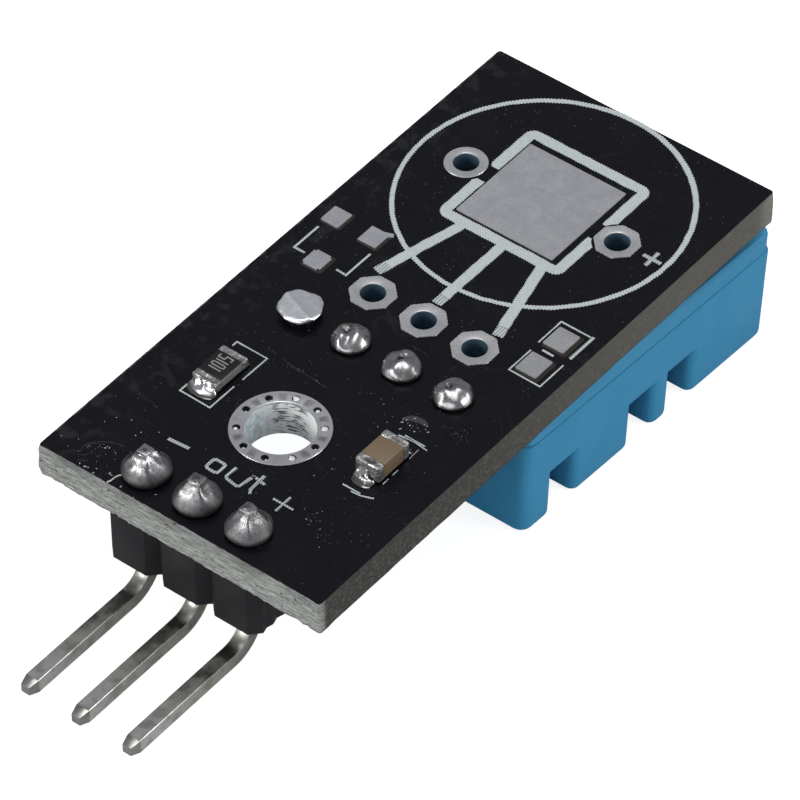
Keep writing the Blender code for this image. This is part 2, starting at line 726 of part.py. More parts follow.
def sensor_shell():
    front = SENSOR_THICKNESS
    levels = []
    for step in range(CORNER_STEPS + 1):
        angle = pi / 2 * step / CORNER_STEPS
        inset = SENSOR_EDGE * (1 - sin(angle))
        depth = front - SENSOR_EDGE * (1 - cos(angle))
        levels.append((case_outline(depth, inset, SENSOR_CORNER - inset), -depth))
    rim = BACK_COVER_THICKNESS
    ledge = INNER_BOARD_DEPTH + INNER_BOARD_THICKNESS + SEAT_GAP
    pocket_end = front - SENSOR_FRONT
    pocket_corner = SENSOR_CORNER / 2
    levels += [
        (case_outline(rim), -rim),
        (case_outline(rim, SENSOR_WALL, pocket_corner), -rim),
        (case_outline(rim, SENSOR_WALL, pocket_corner), -ledge),
        (case_outline(rim, SENSOR_WALL + INNER_LEDGE, pocket_corner), -ledge),
        (case_outline(rim, SENSOR_WALL + INNER_LEDGE, pocket_corner), -pocket_end),
    ]
    return stacked(levels)


def closed_slot(low_x, high_x, row_y, grow):
    half = SLOT_WIDTH / 2 + grow
    return rounded_rectangle(low_x - grow, high_x + grow, row_y - half, row_y + half, SLOT_CORNER + grow)


def open_slot(side, row_y, grow):
    """A slot that runs out through the side wall, with the corners there rounded off."""
    half = SLOT_WIDTH / 2 + grow
    edge = SENSOR_WIDTH / 2 - (OPEN_SLOT_CEILING + SENSOR_THICKNESS) / 2 * tan(SENSOR_DRAFT)
    inner = edge - OPEN_SLOT_LENGTH - grow
    corner = SLOT_CORNER + grow
    flare = OPEN_SLOT_FLARE - grow
    upper = []
    for step in range(CORNER_STEPS + 1):
        angle = pi / 2 * step / CORNER_STEPS
        upper.append((inner + corner * (1 - cos(angle)), half - corner * (1 - sin(angle))))
    lean = OPEN_SLOT_LEAN
    for step in range(CORNER_STEPS + 1):
        angle = lean * step / CORNER_STEPS
        upper.append((edge - flare + flare * sin(angle), half + flare * (1 - cos(angle))))
    end_x, end_b = upper[-1]
    run = SENSOR_WALL / 2
    upper.append((end_x + run * cos(lean), end_b + run * sin(lean)))
    upper.append((end_x + 2 * run, end_b + run * sin(lean)))
    outline = upper + [(x, -b) for x, b in reversed(upper)]
    return [(side * x, row_y + side * b) for x, b in outline]


def slot_cutter(outline_at, ceiling):
    """A slot's cutter: chamfered where it leaves the front face, straight above that."""
    outside = SLOT_CHAMFER / 2
    return stacked([
        (outline_at(SLOT_CHAMFER + outside), -SENSOR_THICKNESS - outside),
        (outline_at(0.0), -SENSOR_THICKNESS + SLOT_CHAMFER),
        (outline_at(0.0), ceiling),
    ])


def grille_cutters():
    cutters = []
    inside = -SENSOR_THICKNESS + SENSOR_FRONT + SLOT_CHAMFER
    centre_end = SENSOR_WIDTH / 2 - OPEN_SLOT_LENGTH - OPEN_ROW_BAR
    closed_end = SENSOR_WIDTH / 2 - CLOSED_ROW_MARGIN
    rows = floor((SENSOR_LENGTH - SLOT_FIRST - SLOT_LAST_MARGIN) / SLOT_PITCH) + 1
    for row in range(rows):
        y = SLOT_FIRST + row * SLOT_PITCH
        if row in OPEN_ROWS:
            cutters.append(slot_cutter(lambda grow: closed_slot(-centre_end, centre_end, y, grow), inside))
            for side in (-1, 1):
                cutters.append(slot_cutter(lambda grow: open_slot(side, y, grow), -OPEN_SLOT_CEILING))
        else:
            for side in (-1, 1):
                ends = sorted((side * CLOSED_ROW_BAR / 2, side * closed_end))
                cutters.append(slot_cutter(lambda grow: closed_slot(ends[0], ends[1], y, grow), inside))
    return several(cutters)


def outer_pin_depth():
    """Depth of the sensor pins' middle where they leave through notches in the shell's rim."""
    return BACK_COVER_THICKNESS + SENSOR_PIN_CLEARANCE + SENSOR_PIN_THICKNESS / 2


def pin_notches():
    """Room for the pins: shallow through the near wall, then down to the inner board's back."""
    cutters = []
    half = SENSOR_PIN_WIDTH / 2 + SENSOR_PIN_CLEARANCE
    notch_floor = outer_pin_depth() + SENSOR_PIN_THICKNESS / 2 + SENSOR_PIN_CLEARANCE
    step = SENSOR_WALL + CUT_OVERSHOOT
    end = SENSOR_PIN_INNER_END + SENSOR_PIN_CLEARANCE
    opening = -BACK_COVER_THICKNESS + CUT_OVERSHOOT
    profile = [
        (-CUT_OVERSHOOT, -notch_floor), (step, -notch_floor), (step, -INNER_BOARD_DEPTH),
        (end, -INNER_BOARD_DEPTH), (end, opening), (-CUT_OVERSHOOT, opening),
    ]
    for x in sensor_columns():
        middle = x - SENSOR_X
        cutters.append(plate(profile, middle - half, middle + half, axis="x"))
    return several(cutters)


def sensor_case(case):
    cover = piece_from(sensor_shell(), "sensor_cover", "blue_moulding", case)
    combine(cover, grille_cutters(), "DIFFERENCE")
    combine(cover, pin_notches(), "DIFFERENCE")

    side = SENSOR_WALL + SPIGOT_CLEARANCE
    half = SENSOR_WIDTH / 2 - side - BACK_COVER_THICKNESS * tan(SENSOR_DRAFT)
    far = SENSOR_LENGTH - side - BACK_COVER_THICKNESS * tan(SENSOR_DRAFT)
    spigot = rounded_rectangle(-half, half, SPIGOT_NEAR, far, SENSOR_CORNER / 2)
    under = -BACK_COVER_THICKNESS + SEAT_GAP
    lid = stacked([
        (spigot, -BACK_COVER_THICKNESS - SPIGOT_DEPTH),
        (spigot, under),
        (case_outline(BACK_COVER_THICKNESS, BACK_COVER_INSET), under),
        (case_outline(BACK_COVER_CHAMFER, BACK_COVER_INSET), -BACK_COVER_CHAMFER),
        (case_outline(0.0, BACK_COVER_INSET + BACK_COVER_CHAMFER), 0.0),
    ])
    piece_from(lid, "sensor_back_cover", "blue_moulding", case)


def sensor_inside(case):
    back = -INNER_BOARD_DEPTH
    front = back - INNER_BOARD_THICKNESS
    inset = SENSOR_WALL + INNER_BOARD_CLEARANCE
    outline = case_outline(BACK_COVER_THICKNESS, inset, SENSOR_CORNER / 2)
    piece_from(plate(outline, front, back), "inner_board", "green_board", case)

    sheet = rounded_rectangle(
        -HUMIDITY_WIDTH / 2, HUMIDITY_WIDTH / 2, -HUMIDITY_LENGTH / 2, HUMIDITY_LENGTH / 2, PAD_CORNER
    )
    top = front - SEAT_GAP
    element = plate(sheet, top - HUMIDITY_THICKNESS, top)
    element_near = SENSOR_WALL + INNER_LEDGE + HUMIDITY_GAP
    element_middle = element_near + HUMIDITY_LENGTH / 2
    piece_from(element, "humidity_element", "pale_ceramic", case, (0.0, element_middle, 0.0))

    levels = []
    bead = ((0.0, 0.5), (0.15, 0.85), (0.4, 1.0), (0.7, 0.85), (0.9, 0.5), (1.0, 0.2))
    for share, spread in bead:
        ring = circle(0.0, 0.0, THERMISTOR_RADIUS * spread, ROUND_STEPS // 2)
        levels.append((ring, top - THERMISTOR_HEIGHT * share))
    bead_middle = element_near + HUMIDITY_LENGTH + THERMISTOR_GAP + THERMISTOR_RADIUS
    piece_from(stacked(levels), "thermistor", "black_glaze", case, (0.0, bead_middle, 0.0))

    sheet = rounded_rectangle(-CHIP_WIDTH / 2, CHIP_WIDTH / 2, -CHIP_LENGTH / 2, CHIP_LENGTH / 2, PAD_CORNER)
    seat = back + SEAT_GAP
    chip = plate(sheet, seat, seat + CHIP_THICKNESS)
    chip_middle = SENSOR_PIN_INNER_END + CHIP_GAP + CHIP_LENGTH / 2
    piece_from(chip, "controller_chip", "black_resin", case, (0.0, chip_middle, 0.0))


# The sensor's pins and solder

def case_to_board(y, depth):
    """A point of the case's middle plane in the board's frame."""
    along = SENSOR_NEAR_Y + y * cos(SENSOR_TILT) - depth * sin(SENSOR_TILT)
    back = -BOARD_THICKNESS - SENSOR_BACK_DROP
    return (along, back - y * sin(SENSOR_TILT) - depth * cos(SENSOR_TILT))


def sensor_pins(carrier):
    """Flat pins that lie on the inner board, leave through the rim and turn up into the board."""
    inner_depth = INNER_BOARD_DEPTH - SEAT_GAP - SENSOR_PIN_THICKNESS / 2
    outer_depth = outer_pin_depth()
    jog_end = SENSOR_PIN_INNER_END - SENSOR_PIN_FLAT
    jog_start = jog_end - (inner_depth - outer_depth)
    row = SENSOR_ROW_Y
    corner_y = (row - SENSOR_NEAR_Y + outer_depth * sin(SENSOR_TILT)) / cos(SENSOR_TILT)
    points = [
        case_to_board(SENSOR_PIN_INNER_END, inner_depth),
        case_to_board(jog_end, inner_depth),
        case_to_board(jog_start, outer_depth),
        case_to_board(corner_y, outer_depth),
        (row, SENSOR_PIN_TOP),
    ]
    inside = points[:2]
    outside = bent_path(points[2:], SENSOR_PIN_BEND)
    path = [Vector(point) - Vector((row, 0.0)) for point in (*inside, *outside)]
    mesh = mesh_from(bar(path, SENSOR_PIN_WIDTH, SENSOR_PIN_THICKNESS), "sensor_pin", "plated_pin")
    for number, x in enumerate(sensor_columns(), 1):
        place("sensor_pin_%d" % number, mesh, carrier, (x, row, 0.0))


def sensor_solder(carrier):
    """Domes over the pin ends. The first is a lump with a wide flat top on a narrower waist."""
    plug = SENSOR_HOLE_RADIUS - SEAT_GAP
    under = -BOARD_THICKNESS - SEAT_GAP
    foot = [
        (plug, under - SOLDER_FOOT_HEIGHT),
        (SOLDER_FOOT_RADIUS, under),
        (plug, under),
        (plug, SEAT_GAP),
    ]
    radius = SENSOR_SOLDER_RADIUS
    height = SENSOR_SOLDER_HEIGHT
    dome = [(radius, SEAT_GAP)]
    for step in range(1, 6):
        angle = radians(16 * step)
        dome.append((radius * cos(angle), SEAT_GAP + height * sin(angle)))
    dome.append((radius * 0.1, height - SENSOR_SOLDER_DIMPLE))
    lump = [
        (LUMP_WAIST_RADIUS * 1.08, SEAT_GAP),
        (LUMP_WAIST_RADIUS, LUMP_HEIGHT * 0.25),
        (LUMP_RADIUS * 0.93, LUMP_HEIGHT * 0.62),
        (LUMP_RADIUS, LUMP_HEIGHT * 0.82),
        (LUMP_RADIUS * 0.88, LUMP_HEIGHT),
        (LUMP_RADIUS * 0.2, LUMP_HEIGHT * 1.04),
    ]
    opening = centred_rectangle(
        0.0, 0.0, SENSOR_PIN_WIDTH + 2 * SEAT_GAP, SENSOR_PIN_THICKNESS + 2 * SEAT_GAP
    )
    bore_end = SENSOR_PIN_TOP + SEAT_GAP
    meshes = []
    for name, profile in (("sensor_solder_lump", foot + lump), ("sensor_solder_dome", foot + dome)):
        levels = [(circle(0.0, 0.0, ring, SOLDER_STEPS), level) for ring, level in profile]
        meshes.append(mesh_from(stacked(levels, bore=opening, bore_end=bore_end), name, "bright_solder"))
    for number, x in enumerate(sensor_columns(), 1):
        mesh = meshes[0] if number == 1 else meshes[1]
        place("sensor_solder_%d" % number, mesh, carrier, (x, SENSOR_ROW_Y, 0.0))


# Resistor and capacitor

def solder_fillet(width, length, height):
    """Solder that climbs a chip part's end in a hollow curve. Its foot points to -Y."""
    bm = bmesh.new()
    rings = []
    for share, size in ((-1.0, 0.7), (-0.85, 0.95), (0.0, 1.0), (0.85, 0.95), (1.0, 0.7)):
        profile = [(0.0, 0.0), (0.0, height * size)]
        for step in range(1, 5):
            angle = pi / 2 * step / 5
            profile.append((-length * size * (1 - cos(angle)), height * size * (1 - sin(angle))))
        profile.append((-length * size, 0.0))
        rings.append([bm.verts.new((share * width / 2, y, z + SEAT_GAP)) for y, z in profile])
    for first, second in zip(rings, rings[1:]):
        wall(bm, first, second)
    cap(bm, [rings[0]])
    cap(bm, [rings[-1]])
    return finished(bm)


def chip_ends(kind, x, cap_mesh, size, fillets, carrier):
    """Both end caps and both fillets of a chip part. Number 1 is the near end."""
    half = size[1] / 2
    for number, (turn, side) in enumerate(((0.0, -1), (pi, 1)), 1):
        end_y = CHIP_PART_Y + side * half
        place("%s_end_cap_%d" % (kind, number), cap_mesh, carrier, (x, end_y, CHIP_PART_SEAT), turn)
        length, height = fillets[number - 1]
        name = "%s_solder_%d" % (kind, number)
        mesh = mesh_from(solder_fillet(size[0], length, height), name, "bright_solder")
        place(name, mesh, carrier, (x, end_y + side * SEAT_GAP, 0.0), turn)


def resistor(carrier):
    width, length, height = RESISTOR_SIZE
    inward = CHIP_CAP_WALL + SEAT_GAP
    seat = CHIP_PART_SEAT
    body = plate(
        centred_rectangle(RESISTOR_X, CHIP_PART_Y, width, length - 2 * inward),
        seat + inward, seat + height - inward,
    )
    piece_from(body, "resistor_body", "pale_ceramic", carrier)
    top = seat + height - inward + SEAT_GAP
    coat = plate(
        centred_rectangle(
            RESISTOR_X, CHIP_PART_Y, width - 2 * CHIP_EDGE, length - 2 * (RESISTOR_BAND + SEAT_GAP)
        ),
        top, top + RESISTOR_COAT_THICKNESS,
    )
    piece_from(coat, "resistor_coat", "black_glaze", carrier)
    skin = CHIP_CAP_WALL
    channel = [
        (0.0, 0.0), (RESISTOR_BAND, 0.0), (RESISTOR_BAND, skin), (skin, skin),
        (skin, height - skin), (RESISTOR_BAND, height - skin), (RESISTOR_BAND, height), (0.0, height),
    ]
    end_cap = mesh_from(plate(channel, -width / 2, width / 2, axis="x"), "resistor_end_cap", "tinned_copper")
    chip_ends("resistor", RESISTOR_X, end_cap, RESISTOR_SIZE, RESISTOR_FILLETS, carrier)


def capacitor(carrier):
    width, length, height = CAPACITOR_SIZE
    inward = CHIP_CAP_WALL + SEAT_GAP
    half = width / 2
    seat = CHIP_PART_SEAT
    block = rounded_rectangle(
        CAPACITOR_X - half + inward, CAPACITOR_X + half - inward,
        seat + inward, seat + height - inward, CHIP_EDGE,
    )
    near = CHIP_PART_Y - length / 2 + inward
    far = CHIP_PART_Y + length / 2 - inward
    piece_from(plate(block, near, far, axis="y"), "capacitor_body", "tan_ceramic", carrier)

    def section(inset):
        return rounded_rectangle(-half + inset, half - inset, inset, height - inset, CHIP_EDGE)

    skin = CHIP_CAP_WALL
    cup = stacked([
        (section(CHIP_EDGE), 0.0),
        (section(0.0), CHIP_EDGE),
        (section(0.0), CAPACITOR_BAND),
        (section(skin), CAPACITOR_BAND),
        (section(skin), skin),
    ], axis="y")
    end_cap = mesh_from(cup, "capacitor_end_cap", "tinned_copper")
    chip_ends("capacitor", CAPACITOR_X, end_cap, CAPACITOR_SIZE, CAPACITOR_FILLETS, carrier)


# Assembly

def stand_on_floor(module):
    """Moves the whole module so that its box is centred over the origin and stands on Z = 0."""
    bpy.context.view_layer.update()
    corners = []
    for piece in bpy.context.scene.objects:
        if piece.type == "MESH" and not piece.hide_render:
            corners += [piece.matrix_world @ vertex.co for vertex in piece.data.vertices]
    low = [min(corner[axis] for corner in corners) for axis in range(3)]
    high = [max(corner[axis] for corner in corners) for axis in range(3)]
    module.location = (-(low[0] + high[0]) / 2, -(low[1] + high[1]) / 2, -low[2])


def main():
    clear_scene()
    module = empty("module")
    module.rotation_euler = (SENSOR_TILT, 0.0, 0.0)
    case = empty("case", module)
    case.location = (SENSOR_X, SENSOR_NEAR_Y, -BOARD_THICKNESS - SENSOR_BACK_DROP)
    case.rotation_euler = (-SENSOR_TILT, 0.0, 0.0)

    circuit_board(module)
    plated_holes(module)
    bare_pads(module)
    drawing_print(module)
    header_housing(module)
    header_pins(module)
    header_solder(module)
    sensor_case(case)
    sensor_inside(case)
    sensor_pins(module)
    sensor_solder(module)
    resistor(module)
    capacitor(module)
    stand_on_floor(module)


main()
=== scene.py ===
# %% [markdown]
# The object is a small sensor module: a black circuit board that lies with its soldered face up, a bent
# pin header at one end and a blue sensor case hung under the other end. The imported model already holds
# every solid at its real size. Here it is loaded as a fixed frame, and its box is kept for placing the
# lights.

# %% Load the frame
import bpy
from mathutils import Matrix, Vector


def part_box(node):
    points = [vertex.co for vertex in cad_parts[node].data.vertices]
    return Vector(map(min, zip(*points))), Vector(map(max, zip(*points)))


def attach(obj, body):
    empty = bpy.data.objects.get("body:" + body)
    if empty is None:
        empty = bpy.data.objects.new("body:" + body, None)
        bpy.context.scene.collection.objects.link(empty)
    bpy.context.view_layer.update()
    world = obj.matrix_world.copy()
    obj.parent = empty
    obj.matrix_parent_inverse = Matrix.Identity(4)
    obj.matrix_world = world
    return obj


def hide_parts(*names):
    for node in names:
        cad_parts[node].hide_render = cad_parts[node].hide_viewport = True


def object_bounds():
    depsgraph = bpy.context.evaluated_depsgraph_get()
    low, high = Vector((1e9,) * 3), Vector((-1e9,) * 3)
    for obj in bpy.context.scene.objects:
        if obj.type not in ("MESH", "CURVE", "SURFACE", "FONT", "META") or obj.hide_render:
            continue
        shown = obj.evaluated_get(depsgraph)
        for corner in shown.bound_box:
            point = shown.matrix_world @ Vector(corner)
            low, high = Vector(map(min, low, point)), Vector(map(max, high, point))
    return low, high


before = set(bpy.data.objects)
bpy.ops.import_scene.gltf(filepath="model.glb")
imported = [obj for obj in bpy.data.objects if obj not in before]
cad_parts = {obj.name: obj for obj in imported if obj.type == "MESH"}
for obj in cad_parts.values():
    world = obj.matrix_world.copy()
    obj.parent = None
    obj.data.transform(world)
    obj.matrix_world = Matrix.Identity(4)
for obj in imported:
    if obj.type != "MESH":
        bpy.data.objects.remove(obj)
cad_low, cad_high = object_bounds()
print("the frame's box in mm:", [round(1000 * (b - a), 2) for a, b in zip(cad_low, cad_high)])

# %% [markdown]
# The board isn't level: the module rests on the front of its sensor case, and the board leans a few
# degrees away from it. Drawing on a leaning board is awkward, so everything on it is drawn flat, in
# millimetres, with X across the board, Y along it from the header end and Z out of the soldered face.
# One matrix then carries a finished mesh to its place. A second matrix does the same for the case.

# %% Board space and case space
from math import atan2, cos, exp, pi, radians, sin, tan

import bmesh
import bpy
from mathutils import Matrix, Vector, noise

MM = 0.001
LEAN = radians(3.7)
BOARD_THICKNESS = 1.6
BOARD_LENGTH = 28.9
CASE_RIM = 0.95
DRAFT = tan(radians(1.0))
board_low, board_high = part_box("circuit_board")
board_origin = Vector((
    (board_low.x + board_high.x) / 2, board_low.y, board_low.z + BOARD_THICKNESS * MM * cos(LEAN),
))
BOARD_PLACE = Matrix.Translation(board_origin) @ Matrix.Rotation(LEAN, 4, "X") @ Matrix.Scale(MM, 4)
BOARD_WIDTH = (board_high.x - board_low.x) / MM

cover_low, cover_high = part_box("sensor_cover")
back_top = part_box("sensor_back_cover")[1].z
case_origin = Vector(((cover_low.x + cover_high.x) / 2, cover_low.y, back_top))
case_origin.y -= CASE_RIM * MM * DRAFT
CASE_PLACE = Matrix.Translation(case_origin) @ Matrix.Scale(MM, 4)
print("board origin in mm:", [round(c / MM, 3) for c in board_origin], "width", round(BOARD_WIDTH, 2))
print("case origin in mm:", [round(c / MM, 3) for c in case_origin])

# %% [markdown]
# Each new piece is made in the same few steps: a bmesh in millimetres, its normals turned outwards, its
# mesh carried to its place, and an object that stays at the origin. The CAD nodes are kept that way too,
# so a pattern that reads object coordinates sits still on all of them.

# %% From a bmesh to a piece
SMOOTH_ANGLE = 38


def object_from(bm, name):
    bmesh.ops.recalc_face_normals(bm, faces=bm.faces)
    mesh = bpy.data.meshes.new(name)
    bm.to_mesh(mesh)
    bm.free()
    mesh.shade_smooth()
    mesh.set_sharp_from_angle(angle=radians(SMOOTH_ANGLE))
    made = bpy.data.objects.new(name, mesh)
    bpy.context.scene.collection.objects.link(made)
    return made


def with_modifiers_applied(made):
    graph = bpy.context.evaluated_depsgraph_get()
    mesh = bpy.data.meshes.new_from_object(made.evaluated_get(graph))
    made.modifiers.clear()
    made.data = mesh
    mesh.name = made.name
    return made


def combined(made, bm, operation="DIFFERENCE"):
    """Cuts a bmesh from an object, or adds it, and applies the result."""
    helper = object_from(bm, made.name + "_helper")
    boolean = made.modifiers.new("boolean", "BOOLEAN")
    boolean.operation = operation
    boolean.solver = "EXACT"
    boolean.object = helper
    with_modifiers_applied(made)
    bpy.data.objects.remove(helper)
    return made


def piece(made, finish, replaced=None, angle=SMOOTH_ANGLE, place=BOARD_PLACE):
    """Carries an object's mesh to its place, gives it its finish, hangs it on the root body and hides the
    CAD node it replaces.
    """
    made.data.transform(place)
    made.data.shade_smooth()
    made.data.set_sharp_from_angle(angle=radians(angle))
    made.data.materials.clear()
    made.data.materials.append(finish)
    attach(made, "root")
    if replaced:
        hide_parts(replaced)
    return made

# %% [markdown]
# Three kinds of shape come back all the time. A turned shape, such as a ring or a solder joint, is a
# profile spun round a vertical axis. A flat shape, such as ink or a moulding seen from above, is an
# outline with rounded corners that is filled and given a height. A box is a scaled cube.

# %% Shapes that come back
def turned(profile, steps=40, centre=(0.0, 0.0)):
    """Spins (radius, height) points round a vertical axis. A profile that returns to its start is a ring."""
    bm = bmesh.new()
    points = [bm.verts.new((radius, 0.0, height)) for radius, height in profile]
    edges = [bm.edges.new(pair) for pair in zip(points, points[1:])]
    if profile[0][0] > 0.0 and profile[-1][0] > 0.0:
        edges.append(bm.edges.new((points[-1], points[0])))
    bmesh.ops.spin(
        bm, geom=points + edges, cent=(0, 0, 0), axis=(0, 0, 1), dvec=(0, 0, 0),
        angle=2 * pi, steps=steps, use_merge=True,
    )
    bmesh.ops.remove_doubles(bm, verts=bm.verts, dist=1e-5)
    bmesh.ops.translate(bm, verts=bm.verts, vec=(centre[0], centre[1], 0.0))
    return bm


def box(low, high):
    bm = bmesh.new()
    bmesh.ops.create_cube(bm, size=1.0)
    size = Vector(high) - Vector(low)
    bmesh.ops.scale(bm, vec=size, verts=bm.verts)
    bmesh.ops.translate(bm, vec=(Vector(high) + Vector(low)) / 2, verts=bm.verts)
    return bm


def cylinder(x, y, radius, low, high, steps=24):
    bm = bmesh.new()
    bmesh.ops.create_cone(
        bm, cap_ends=True, segments=steps, radius1=radius, radius2=radius, depth=high - low,
        matrix=Matrix.Translation((x, y, (low + high) / 2)),
    )
    return bm


def together(parts):
    whole = bmesh.new()
    for part in parts:
        mesh = bpy.data.meshes.new("part")
        part.to_mesh(mesh)
        part.free()
        whole.from_mesh(mesh)
        bpy.data.meshes.remove(mesh)
    return whole


def rounded(corners, radius, steps=5):
    """Rounds the corners of an outline. A corner can bring its own radius as a third number."""
    outline = []
    count = len(corners)
    for index, corner in enumerate(corners):
        here = Vector(corner[:2])
        reach = corner[2] if len(corner) > 2 else radius
        back = Vector(corners[index - 1][:2]) - here
        ahead = Vector(corners[(index + 1) % count][:2]) - here
        if reach <= 0.0:
            outline.append(here)
            continue
        half_angle = back.angle(ahead) / 2
        setback = reach / tan(half_angle)
        start = here + back.normalized() * setback
        middle = here + (back.normalized() + ahead.normalized()).normalized() * reach / sin(half_angle)
        end = here + ahead.normalized() * setback
        turn = (start - middle).angle_signed(end - middle)
        for step in range(steps + 1):
            arm = start - middle
            angle = -turn * step / steps
            outline.append(middle + Vector((
                arm.x * cos(angle) - arm.y * sin(angle), arm.x * sin(angle) + arm.y * cos(angle),
            )))
    return outline


def flat_solid(outlines, low, high, edge=0.0, edge_steps=3):
    """Fills outlines, with the inner ones as holes, and gives them a height and rounded edges."""
    curve = bpy.data.curves.new("flat", "CURVE")
    curve.dimensions = "2D"
    curve.fill_mode = "BOTH"
    curve.extrude = (high - low) / 2 - edge
    curve.bevel_depth = edge
    curve.bevel_resolution = edge_steps
    curve.offset = -edge
    for outline in outlines:
        spline = curve.splines.new("POLY")
        spline.points.add(len(outline) - 1)
        for point, spot in zip(spline.points, outline):
            point.co = (spot[0], spot[1], 0.0, 1.0)
        spline.use_cyclic_u = True
    holder = bpy.data.objects.new("flat", curve)
    bpy.context.scene.collection.objects.link(holder)
    graph = bpy.context.evaluated_depsgraph_get()
    mesh = bpy.data.meshes.new_from_object(holder.evaluated_get(graph))
    bpy.data.objects.remove(holder)
    bm = bmesh.new()
    bm.from_mesh(mesh)
    bpy.data.meshes.remove(mesh)
    bmesh.ops.remove_doubles(bm, verts=bm.verts, dist=1e-4)
    bmesh.ops.translate(bm, verts=bm.verts, vec=(0.0, 0.0, (low + high) / 2))
    return bm


def circle(x, y, radius, steps=48):
    angles = [2 * pi * k / steps for k in range(steps)]
    return [(x + radius * cos(angle), y + radius * sin(angle)) for angle in angles]


def rectangle(x, y, width, length):
    return [
        (x - width / 2, y - length / 2), (x + width / 2, y - length / 2),
        (x + width / 2, y + length / 2), (x - width / 2, y + length / 2),
    ]

# %% [markdown]
# White ink is pressed through a fine mesh, so its edges have tiny teeth. Any outline can be given them:
# its sides are cut into short steps, which go out and in by turns, and a slow noise lets the edge wander.

# %% Teeth of the printing screen
TOOTH_STEP = 0.062
TOOTH_DEPTH = 0.026


def jagged(outline, depth=TOOTH_DEPTH, step=TOOTH_STEP):
    """Gives an outline small teeth, because white ink is pressed through a fine mesh."""
    teeth = []
    for index, corner in enumerate(outline):
        start = Vector(corner[:2])
        run = Vector(outline[(index + 1) % len(outline)][:2]) - start
        pieces = max(1, round(run.length / step))
        outward = Vector((run.y, -run.x)).normalized()
        for part in range(pieces):
            spot = start + run * part / pieces
            tooth = depth if len(teeth) % 2 else -depth
            wander = 1.2 * depth * noise.noise(Vector((spot.x * 2.3, spot.y * 2.3, 5.0)))
            teeth.append(spot + outward * (tooth + wander))
    return teeth

# %% [markdown]
# A finish is more than a colour. Real solder mask carries dust and fine scratches, tin is blotchy, and
# moulded plastic has a faint grain. These effects come back on many pieces, so each one is a node group
# with its own inputs. A group only puts out numbers that change over the surface: the shader itself stays
# in the material. All patterns are measured in millimetres.

# %% Node helpers
def add_node(tree, kind, inputs=(), **settings):
    """Adds a node, with its settings and its inputs. An input is a value or another node's socket."""
    made = tree.nodes.new(kind)
    for name, value in settings.items():
        setattr(made, name, value)
    for name, value in dict(inputs).items():
        if isinstance(value, bpy.types.NodeSocket):
            tree.links.new(value, made.inputs[name])
        else:
            made.inputs[name].default_value = value
    return made


def new_group(name, output, **numbers):
    """Starts a shared effect: it takes a place and some numbers, and puts out one mask."""
    group = bpy.data.node_groups.new(name, "ShaderNodeTree")
    group.interface.new_socket("Vector", in_out="INPUT", socket_type="NodeSocketVector")
    for label, value in numbers.items():
        socket = group.interface.new_socket(label, in_out="INPUT", socket_type="NodeSocketFloat")
        socket.default_value = value
    group.interface.new_socket(output, in_out="OUTPUT", socket_type="NodeSocketFloat")
    ends = [group.nodes.new(kind) for kind in ("NodeGroupInput", "NodeGroupOutput")]
    return group, ends[0].outputs, ends[1].inputs[output]


def math(tree, operation, first, second=0.0, clamp=False):
    made = add_node(tree, "ShaderNodeMath", {0: first, 1: second}, operation=operation, use_clamp=clamp)
    return made.outputs[0]


def ramp(tree, value, low, high, to_low=0.0, to_high=1.0):
    """Turns a value's range from low to high into another range, with soft ends."""
    sockets = {"Value": value, "From Min": low, "From Max": high, "To Min": to_low, "To Max": to_high}
    return add_node(tree, "ShaderNodeMapRange", sockets, interpolation_type="SMOOTHSTEP").outputs["Result"]

# %% [markdown]
# Three shared effects. Blotches are soft patches of a given size, cut out of cloudy noise. Specks are small
# round spots in some of the cells of a grid. Fine lines are thin scratches along the first axis: they
# stand where a stretched noise crosses its middle value, and a second noise breaks them up.

# %% Blotches
blotches, given, out = new_group("blotches", "Value", Size=1.0, Low=0.4, High=0.6, Detail=4.0)
scale = math(blotches, "DIVIDE", 1.0, given["Size"])
cloud = add_node(
    blotches, "ShaderNodeTexNoise", {"Vector": given["Vector"], "Scale": scale, "Detail": given["Detail"]},
)
blotches.links.new(ramp(blotches, cloud.outputs[0], given["Low"], given["High"]), out)

# %% Specks
specks, given, out = new_group("specks", "Mask", Spacing=1.0, Size=0.1, Share=0.3)
scale = math(specks, "DIVIDE", 1.0, given["Spacing"])
cells = add_node(specks, "ShaderNodeTexVoronoi", {"Vector": given["Vector"], "Scale": scale})
reach = math(specks, "DIVIDE", given["Size"], given["Spacing"])
inside = ramp(specks, cells.outputs["Distance"], reach, math(specks, "MULTIPLY", reach, 0.4))
chance = add_node(specks, "ShaderNodeSeparateColor", {"Color": cells.outputs["Color"]}).outputs["Red"]
chosen = math(specks, "LESS_THAN", chance, given["Share"])
specks.links.new(math(specks, "MULTIPLY", inside, chosen), out)

# %% Fine lines
fine_lines, given, out = new_group("fine_lines", "Mask", Length=4.0, Spacing=0.4, Width=0.02, Share=0.5)
long_scale = math(fine_lines, "DIVIDE", 1.0, given["Length"])
cross_scale = math(fine_lines, "DIVIDE", 1.0, given["Spacing"])
stretch = add_node(fine_lines, "ShaderNodeCombineXYZ", {0: long_scale, 1: cross_scale, 2: cross_scale})
stretched = add_node(
    fine_lines, "ShaderNodeVectorMath", {0: given["Vector"], 1: stretch.outputs[0]}, operation="MULTIPLY",
)
wavy = add_node(
    fine_lines, "ShaderNodeTexNoise", {"Vector": stretched.outputs[0], "Scale": 1.0, "Detail": 1.0},
)
off_line = math(fine_lines, "ABSOLUTE", math(fine_lines, "SUBTRACT", wavy.outputs[0], 0.5))
line = ramp(fine_lines, off_line, given["Width"], 0.0)
breaks = add_node(
    fine_lines, "ShaderNodeTexNoise", {"Vector": given["Vector"], "Scale": long_scale, "Detail": 2.0},
)
